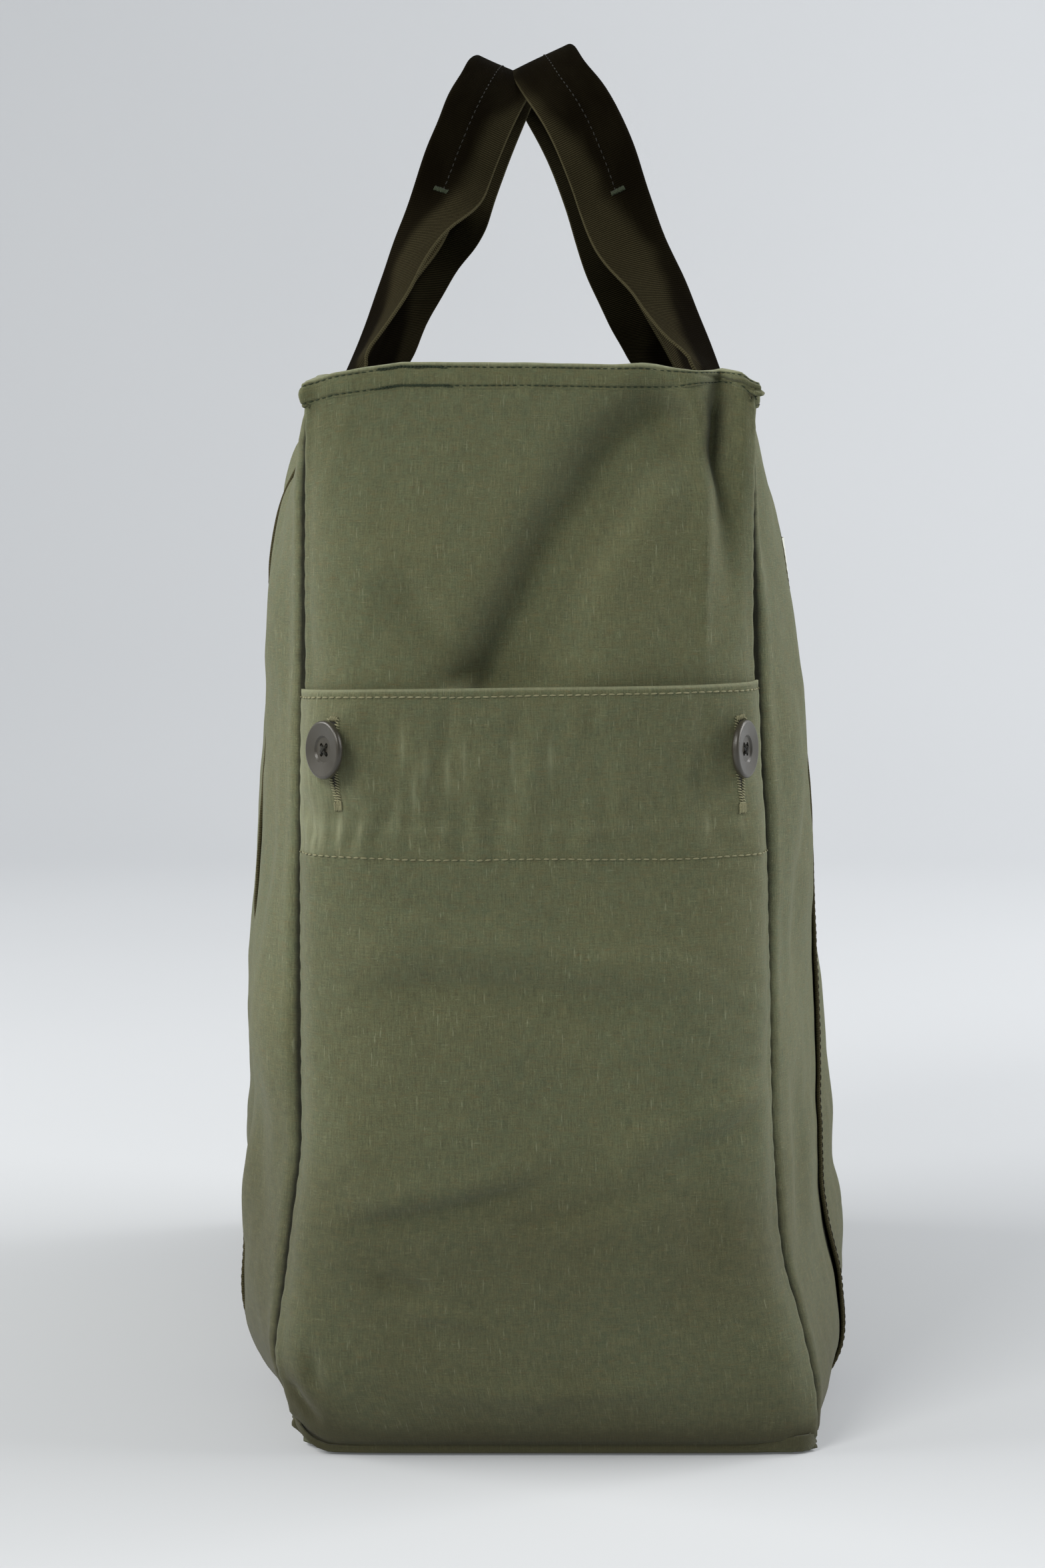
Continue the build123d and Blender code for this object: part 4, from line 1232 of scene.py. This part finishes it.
def stitch_tree():
    """Lays stitches along lines: each is a short thread that follows the line, on the cloth."""
    tree = bpy.data.node_groups.new("stitches", "GeometryNodeTree")
    face = tree.interface
    face.new_socket("Lines", in_out="INPUT", socket_type="NodeSocketGeometry")
    for name in ("Pitch", "Length", "Thickness", "Turn"):
        face.new_socket(name, in_out="INPUT", socket_type="NodeSocketFloat")
    face.new_socket("Seed", in_out="INPUT", socket_type="NodeSocketInt")
    face.new_socket("Thread", in_out="INPUT", socket_type="NodeSocketMaterial")
    face.new_socket("Stitches", in_out="OUTPUT", socket_type="NodeSocketGeometry")

    def node(kind, settings=None, **inputs):
        return wired(tree, kind, settings, **inputs).outputs[0]

    def shaken(low, high):
        return node("FunctionNodeRandomValue", {"data_type": "FLOAT_VECTOR"}, in_0=low, in_1=high,
                    Seed=given["Seed"])

    given = tree.nodes.new("NodeGroupInput").outputs
    lines = node("GeometryNodeMeshToCurve", in_0=given["Lines"])
    stations = node("GeometryNodeResampleCurve", {"mode": "LENGTH"}, Curve=lines, Length=given["Pitch"])
    size = node("ShaderNodeCombineXYZ", X=given["Length"], Y=given["Thickness"], Z=given["Thickness"])
    turned = node("ShaderNodeCombineXYZ", Z=given["Turn"])
    stitch = node("GeometryNodeMeshUVSphere", Segments=7, Rings=5, Radius=0.5)
    sized = node("GeometryNodeTransform", Geometry=stitch, Scale=size)
    laid = node("GeometryNodeTransform", Geometry=sized, Rotation=turned)
    lift = node("GeometryNodeInputNamedAttribute", {"data_type": "FLOAT_VECTOR"}, Name="lift")
    along = node("FunctionNodeAlignRotationToVector", {"axis": "X"}, Vector=node("GeometryNodeInputTangent"))
    upright = node("FunctionNodeAlignRotationToVector", {"axis": "Z", "pivot_axis": "X"}, Rotation=along, Vector=lift)
    rotation = node("FunctionNodeRotateRotation", {"rotation_space": "LOCAL"}, Rotation=upright,
                    Rotate_By=shaken((-0.05, -0.05, -0.10), (0.05, 0.05, 0.10)))
    many = node("GeometryNodeInstanceOnPoints", Points=stations, Instance=laid, Rotation=rotation,
                Scale=shaken((0.86, 0.88, 0.88), (1.06, 1.12, 1.12)))
    soft = node("GeometryNodeSetShadeSmooth", in_0=node("GeometryNodeRealizeInstances", in_0=many))
    dressed = node("GeometryNodeSetMaterial", Geometry=soft, Material=given["Thread"])
    wired(tree, "NodeGroupOutput", in_0=dressed)
    return tree


STITCHES = stitch_tree()


def sew(name, runs, thread, slot, *, pitch, length, thick, seed, body="bag", turn=0.0, stands_for=()):
    """Stitches along runs of (points, normals), as one plain mesh. The turn is in degrees."""
    points, normals = (np.concatenate(values) for values in zip(*runs))
    starts = np.cumsum([0] + [len(some) for some, _ in runs])
    edges = np.concatenate([np.stack([np.arange(low, high - 1), np.arange(low + 1, high)], -1)
                            for low, high in zip(starts, starts[1:])])
    mesh = bpy.data.meshes.new(name + "_lines")
    mesh.from_pydata((points * MM).tolist(), edges.tolist(), [])
    lift = mesh.attributes.new("lift", "FLOAT_VECTOR", "POINT")
    lift.data.foreach_set("vector", normals.astype(np.float32).ravel())
    lines = placed(name + "_lines", mesh)
    layer = lines.modifiers.new("stitches", "NODES")
    layer.node_group = STITCHES
    values = {"Pitch": pitch * MM, "Length": length * MM, "Thickness": thick * MM, "Turn": math.radians(turn),
              "Seed": seed, "Thread": thread}
    for item in STITCHES.interface.items_tree:
        if item.name in values:
            layer[item.identifier] = values[item.name]
    bpy.context.view_layer.update()
    plain = bpy.data.meshes.new_from_object(lines.evaluated_get(bpy.context.evaluated_depsgraph_get()))
    plain.name = name
    bpy.data.objects.remove(lines)
    if "lift" in plain.attributes:
        plain.attributes.remove(plain.attributes["lift"])
    return declared(placed(name, plain), body, slot, stands_for)


THREAD_LIFT = 0.12  # how far the middle of a thread lies off the cloth
STRAP_ROW, GRIP_ROWS = 22.2, (-7.0, 23.0)  # rows along the webbing, from its middle
BARTACKS = ((-9.5, -1.5), (16.5, 24.0))  # from and to, across a grip


def run_on(cloth, v, u, lift=THREAD_LIFT):
    """A stitch line on a piece of cloth."""
    v, u = np.broadcast_arrays(np.asarray(v, float), np.asarray(u, float))
    return cloth.at(v, u, lift), cloth.up(v, u)


# Rim hems: two rows all round, and doubled where the seam was started and ended
rows = []
inner = np.linspace(-CUT_HALF + 2.2, CUT_HALF - 2.2, 150)
for end in ENDS:
    for level, seed in zip(HEM_ROWS[::-1], (7, 9)):
        rows.append(run_on(hem_cloth[end], level + 0.012 * waver(inner, seed, 25, 80), inner))
for side in SIDES:
    for low, high in ((-0.985, -0.662), (-0.398, 0.398), (0.662, 0.985)):
        inner = np.linspace(low, high, 120)
        for level, seed in zip(HEM_ROWS[::-1], (17, 19)):
            rows.append(run_on(hem_cloth[side], level + 0.012 * waver(inner * SIDE_HALF, seed, 25, 80), inner))
sew("rim_stitches", rows, GREEN_THREAD, "canvas", pitch=2.9, length=2.25, thick=0.55, seed=3)
rows = []
for level, low, high in ((0.86, -68, -40), (0.79, -67, -38), (0.125, -69, -35), (0.185, -66, -37), (0.16, -63, -41)):
    inner = np.linspace(low, high, 40)
    rows.append(run_on(hem_cloth["front"], level + 0.012 * waver(inner, int(level * 100), 5, 14), inner, 0.3))
sew("rim_backstitches", rows, GREEN_THREAD, "canvas", pitch=1.5, length=1.7, thick=0.6, seed=8)

# Pockets: a row under the mouth and one along the foot of the facing
rows = []
inner = np.linspace(-CUT_HALF + 1.2, CUT_HALF - 1.2, 160)
for end, way in ENDS.items():
    for height, seed in ((POCKET_MOUTH - 3.4, 27), (FACING_FOOT + 1.6, 29)):
        rows.append(run_on(pocket_cloth[end], height + 0.3 * waver(inner, seed + way, 25, 90), inner, 0.22))
sew("pocket_stitches", rows, KHAKI_THREAD, "pocket_thread", pitch=3.4, length=3.0, thick=0.8, seed=5)

# Side straps: a row along each edge, and two across at the rim
rows = []
heights, places = np.linspace(4, RIM - 16, 220), np.linspace(-23, 23, 24)
for strap in strap_cloth.values():
    for edge in (-STRAP_ROW, STRAP_ROW):
        rows.append(run_on(strap, heights, edge + 0.25 * waver(heights, 33, 30, 120), 0.1))
    for height in (RIM - HEM_DEPTH * 0.86, RIM - 2.4):
        rows.append(run_on(strap, height + 0.1 * waver(places, 35, 10, 30), places, 0.1))
sew("strap_stitches", rows, DARK_THREAD_AND_SLIT_SHADE, "webbing", pitch=3.4, length=2.6, thick=0.6, seed=6)

# ---------------------------------------------------------------- handle stitches and bartacks


def nearest(values, wanted):
    return int(np.argmin(np.abs(values - wanted)))


def grip_outside(band):
    """The sign of a band's normals on the outside of its folded grip."""
    i = nearest(band.lengths, band.total / 2)
    j, k = nearest(band.widths, -12), nearest(band.widths, 12)
    return 1 if np.dot(band.normal[i, j], band.points[i, j] - band.points[i, k]) > 0 else -1


def band_run(band, lengths, width, face):
    """A line along a handle's band, at a width across it, on one of its faces."""
    j = nearest(band.widths, width)
    line, up = (np.stack([np.interp(lengths, band.lengths, grid[:, j, k]) for k in range(3)], -1)
                for grid in (band.points, band.normal))
    up = unit(up) * face
    return line + up * (WEBBING / 2 + THREAD_LIFT), up


for side, band in handles.items():
    face = grip_outside(band)
    grip = np.linspace(OPEN_LEG + 1, band.total - OPEN_LEG - 1, 160)
    sew(f"grip_stitches_{side}", [band_run(band, grip, width, face) for width in GRIP_ROWS], GRIP_THREAD,
        "webbing", body=f"handle_{side}", pitch=3.3, length=2.4, thick=0.5, seed=12)
    rows = []
    for s in (OPEN_LEG, band.total - OPEN_LEG):
        for low, high in BARTACKS:
            i = nearest(band.lengths, s)
            chosen = [j for j, width in enumerate(band.widths) if low < width < high]
            up = band.normal[i, chosen] * face
            rows.append((band.points[i, chosen] + up * (WEBBING / 2 + 0.22), up))
    sew(f"bartack_stitches_{side}", rows, BARTACK_THREAD, "bartack_thread", body=f"handle_{side}", pitch=0.5,
        length=2.7, thick=0.62, turn=86, seed=14, stands_for=[f"grip_bartacks_{side}"])

# ---------------------------------------------------------------- buttons and buttonholes


HOLE_ABOVE, HOLE_BELOW = 11.5, 24.5  # reach of a buttonhole from its button's middle


def buttonhole(name, cloth, height, column, way, sign):
    """A slit edged with close stitches, with a knot at each of its ends, and a dark sheet in it as painted shade."""
    top, foot = height + HOLE_ABOVE, height - HOLE_BELOW
    heights = np.linspace(foot, top, 60)
    gap = 0.55 + 1.5 * ease((heights - foot) / 22)
    drift = 0.25 * waver(heights, 41 + way + sign, 8, 22)
    rows = [run_on(cloth, heights, column + drift + gap * edge, 0.25) for edge in (-1, 1)]
    sew(f"buttonhole_stitches_{name}", rows, KHAKI_THREAD, "pocket_thread", pitch=1.15, length=2.6, thick=0.78,
        turn=68, seed=int(height) + sign, stands_for=[f"buttonhole_{name}"])
    places = np.linspace(-1.5, 1.5, 6)
    rows = [run_on(cloth, spot + 0.15 * places * (spot % 2 - 0.5), column + places, 0.45)
            for spot in (foot - 0.9, foot + 0.1, foot + 1.1, top + 0.4)]
    sew(f"buttonhole_knots_{name}", rows, KHAKI_THREAD, "pocket_thread", pitch=0.66, length=2.6, thick=0.85,
        turn=80, seed=4)
    # a dark sheet in the gaping slit is painted shade
    columns = np.array([-1.0, -0.5, 0, 0.5, 1.0])
    v, k = crossed(heights, columns)
    slit = Cloth(heights, columns, cloth.at(v, column + drift[:, None] + k * gap[:, None] * 0.8, 0.06), (0, way, 0))
    cloth_piece(f"buttonhole_slit_shade_{name}", slit, 0.25, DARK_THREAD_AND_SLIT_SHADE, slit.map(), slot="pocket_thread")


def button_threads(name, seat, axis, seed):
    """Crossed sewing thread in a button's dish, and the shank behind it."""
    first = unit(np.cross(axis, (0, 0, 1.0)))
    second = np.cross(axis, first)
    dice = np.random.default_rng(seed)
    reach = np.linspace(-1, 1, 9)[:, None]
    parts = []
    for diagonal in (1, -1):
        line, beside = (first + diagonal * second) / math.sqrt(2), (first - diagonal * second) / math.sqrt(2)
        for offset in (-0.42, 0.0, 0.42):
            hump = 0.62 + 0.3 * (diagonal > 0) + 0.1 * dice.random()
            hump = 2.0 + hump * (1 - reach**6) - 1.1 * np.abs(reach) ** 6
            parts.append(strand(seat + reach * 2.7 * line + (offset * (1 - 0.3 * reach**2)) * beside + hump * axis,
                                0.27))
    piece(f"button_cross_{name}", *joined(parts), DARK_THREAD_AND_SLIT_SHADE, body=f"button_{name}", slot="button_thread",
          stands_for=[f"button_thread_{name}"])
    parts = []
    for quarter in range(4):
        angle = quarter * math.pi / 2 + 0.5
        away = 0.55 * (math.cos(angle) * first + math.sin(angle) * second)
        parts.append(strand(seat + np.linspace(-1.6, 0.5, 7)[:, None] * axis + away, 0.42))
    piece(f"button_stem_{name}", *joined(parts), DARK_THREAD_AND_SLIT_SHADE, slot="button_thread",
          stands_for=[f"button_shank_{name}"])


for end, way in ENDS.items():
    for side, sign in SIDES.items():
        seat, axis = button_seat(end, side)
        cloth = pocket_cloth[end]
        near = np.linalg.norm(cloth.points - seat, axis=-1)
        i, j = np.unravel_index(np.argmin(near), near.shape)
        buttonhole(f"{end}_{side}", cloth, cloth.rows[i], cloth.columns[j], way, sign)
        button_threads(f"{end}_{side}", seat, axis, 51 + way * 2 + sign)

# ---------------------------------------------------------------- label and inside tapes

LABEL_HEIGHT, LABEL_REACH = 25, 40
LABEL_SEAT = 4.0  # how far its root stands out of the cloth's face
joint = JOINTS["label_flap"]
corner, edge = np.array(joint["pos_m"]) * METRE, unit(np.array(joint["axis"]))
high = np.array(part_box("label_tag")[1]) * METRE
on_cloth = side_cloth["right"].at(corner[2] + 12, corner[1] / side_reach(corner[2]))
seat_shift = np.array([on_cloth[0] - corner[0] + LABEL_SEAT, 0, 0])
tip = np.array([high[0], high[1], corner[2]]) - corner
ahead = unit(tip - edge * np.dot(tip, edge))
off = np.cross(edge, ahead)
off = off if off[0] > 0 else -off
label_rows, label_columns = spaced(0, LABEL_HEIGHT, 1.5, 0.5, 3), spaced(-1, LABEL_REACH, 1.8, 0.5, 4)
v, k = crossed(label_rows, label_columns)
curl = (2.6 * np.sin(k / LABEL_REACH * math.pi * 1.15) * (0.6 + 0.4 * v / LABEL_HEIGHT)
        - 1.4 * ease((k - 26) / 14) * (1 - v / LABEL_HEIGHT))
grid = corner + seat_shift + k[..., None] * ahead + v[..., None] * edge + curl[..., None] * off
grid[..., 0] -= (0.7 + 1.3 * v / LABEL_HEIGHT) * (1 - ease((k + 1) / 6))  # its root leans in to the stitching
label = Cloth(label_rows, label_columns, grid, off)
label_piece = cloth_piece("label_tape", label, 0.5, LABEL_FINISH, label.map(), body="label", slot="label",
                          stands_for=["label_tag"])
places = np.linspace(1.5, 23.5, 14)
sew("label_stitches", [run_on(label, places, places * 0 + 1.6)], PALE_THREAD, "label", body="label", pitch=3.2,
    length=2.3, thick=0.55, seed=2)

TAPE_WIDTH = 10.0
heights = spaced(4, RIM - 14, 6, 1.5, 6)
widths = np.array([0.0, 0.5, 2, 4, 6, 8, 9.5, TAPE_WIDTH])
z, k = crossed(heights, widths)
for end, way in ENDS.items():
    for side, sign in SIDES.items():
        sag = 0.8 * waver(z, 121 + way + 2 * sign, 25, 80)
        lift = -1.4 - 0.06 * k * (1 + 0.6 * np.sin(z / 21)) + 0.25 * sag - 0.3
        grid = side_cloth[side].at(z, way * (1 - (2.0 + k) / SIDE_HALF), lift)
        tape = Cloth(heights, widths, grid, (-sign, 0, 0))
        cloth_piece(f"seam_tape_{end}_{side}", tape, 1.3, TAPE_FINISH, tape.map(), slot="binding",
                    stands_for=[f"seam_binding_{end}_{side}"])


def loop_at(share, inset, half_x, half_y):
    """A point of a rounded loop about the origin, at a share of the way round."""
    a, b, r = half_x - inset, half_y - inset, max(7.0 - inset * 0.5, 1.5)
    ends_at = np.cumsum([2 * (b - r), math.pi / 2 * r, 2 * (a - r), math.pi / 2 * r] * 2)
    s = share * ends_at[-1]
    i = min(int(np.searchsorted(ends_at, s, side="right")), 7)
    done = s - (ends_at[i - 1] if i else 0)
    if i % 2 == 0:
        starts = [(a, -(b - r), 0, 1), (a - r, b, -1, 0), (-a, b - r, 0, -1), (-(a - r), -b, 1, 0)]
        x, y, dx, dy = starts[i // 2]
        return x + dx * done, y + dy * done
    cx, cy = [(a - r, b - r), (-(a - r), b - r), (-(a - r), -(b - r)), (a - r, -(b - r))][i // 2]
    angle = (i // 2) * math.pi / 2 + done / r
    return cx + r * math.cos(angle), cy + r * math.sin(angle)


low, high = (np.array(corner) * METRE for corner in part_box("bottom_binding"))
middle, half_x, half_y = (low + high) / 2, (high[0] - low[0]) / 2, (high[1] - low[1]) / 2
shares = np.linspace(0, 1, 241)
widths = np.array([0.0, 0.6, 2.5, 5, 7.5, 9.4, TAPE_WIDTH])
grid = np.zeros((len(shares), len(widths), 3))
for i, share in enumerate(shares):
    for j, width in enumerate(widths):
        x, y = loop_at(share % 1.0, width, half_x, half_y)
        grid[i, j] = (middle[0] + x, middle[1] + y, 2.9 - 0.5 * bell((width - 5) / 4)
                      + 0.25 * math.sin(share * 70) * (width / TAPE_WIDTH))
v, k = crossed(shares * 1300, widths)
cloth_piece("bottom_tape", Cloth(shares, widths, grid, (0, 0, 1)), 1.2, TAPE_FINISH, np.stack([k, v], -1),
            slot="binding", stands_for=["bottom_binding"])

# ---------------------------------------------------------------- loops over the ends and the handles, which keep nothing

for end in ENDS:
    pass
for side, band in handles.items():
    (band.total + 20) * MM
    for end in ENDS:
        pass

# ---------------------------------------------------------------- camera, light and stage

def softbox(name, place, target, size, power, colour):
    lamp = bpy.data.lights.new(name, "AREA")
    lamp.shape = "RECTANGLE"
    lamp.size, lamp.size_y = size
    lamp.energy = power
    lamp.color = colour
    holder = placed(name, lamp)
    holder.location = place
    holder.rotation_euler = (Vector(target) - Vector(place)).to_track_quat("-Z", "Y").to_euler()


def studio():
    camera = bpy.data.cameras.new("camera")
    camera.lens = 75
    camera.sensor_width = 36
    camera.clip_end = 30
    holder = placed("camera", camera)
    holder.location = (-0.00932, -1.566, 0.402)
    holder.rotation_euler = (math.radians(90 - 5.1), 0, 0)
    bpy.context.scene.camera = holder

    f = Finish("pale_floor")
    cloud = f.noise(f.place("Object"), (0.8, 0.8, 0.8))
    f.surface(f.mix(cloud, (0.50, 0.515, 0.535), (0.56, 0.575, 0.595)), 0.85, Specular_IOR_Level=0.2,
              Emission_Color=(0.93, 0.96, 1.0, 1), Emission_Strength=0.09)
    # a floor that sweeps up into a wall: Y and Z of its section, in millimetres
    far, behind, radius = 9500, 2000, 1500
    sweep = [(behind + radius * math.sin(turn), radius - radius * math.cos(turn))
             for turn in np.linspace(0, math.pi / 2, 24)]
    line = [(-far, 0)] + sweep + [(behind + radius, far)]
    grid = np.array([[(x, y, z) for x in (-far, far)] for y, z in line], float)
    index = np.arange(len(line) * 2).reshape(-1, 2)
    faces = np.stack([index[:-1, 0], index[:-1, 1], index[1:, 1], index[1:, 0]], -1)
    floor = piece("floor", grid.reshape(-1, 3), faces, f.material, body=None, slot="canvas")
    floor.location.z = -0.0004  # just under the cloth

    softbox("left_window", (-2.3, 0.0, 1.6), (0, 0, 0.40), (1.8, 1.5), 55, (1.0, 0.99, 0.96))
    softbox("right_window", (2.4, 0.2, 1.5), (0, 0, 0.36), (2.0, 1.8), 66, (1.0, 0.99, 0.97))
    softbox("front_fill", (-1.5, -2.2, 2.1), (0, 0, 0.42), (1.3, 1.1), 49, (1.0, 0.98, 0.93))
    softbox("wall_wash", (2.6, 1.4, 3.0), (2.6, 3.4, 0.6), (2.4, 1.4), 68, (1.0, 1.0, 1.0))
    world = bpy.data.worlds.new("room")
    world.use_nodes = True
    sky = world.node_tree.nodes["Background"].inputs
    sky[0].default_value, sky[1].default_value = (0.86, 0.90, 0.95, 1), 0.24
    bpy.context.scene.world = world
    bpy.context.scene.view_settings.view_transform = "Standard"


studio()
for name, node in frame["nodes"].items():
    if name.startswith("button_") and not name.startswith(("button_thread", "button_shank")):
        node.data.materials.clear()
        node.data.materials.append(BUTTON_FINISH)
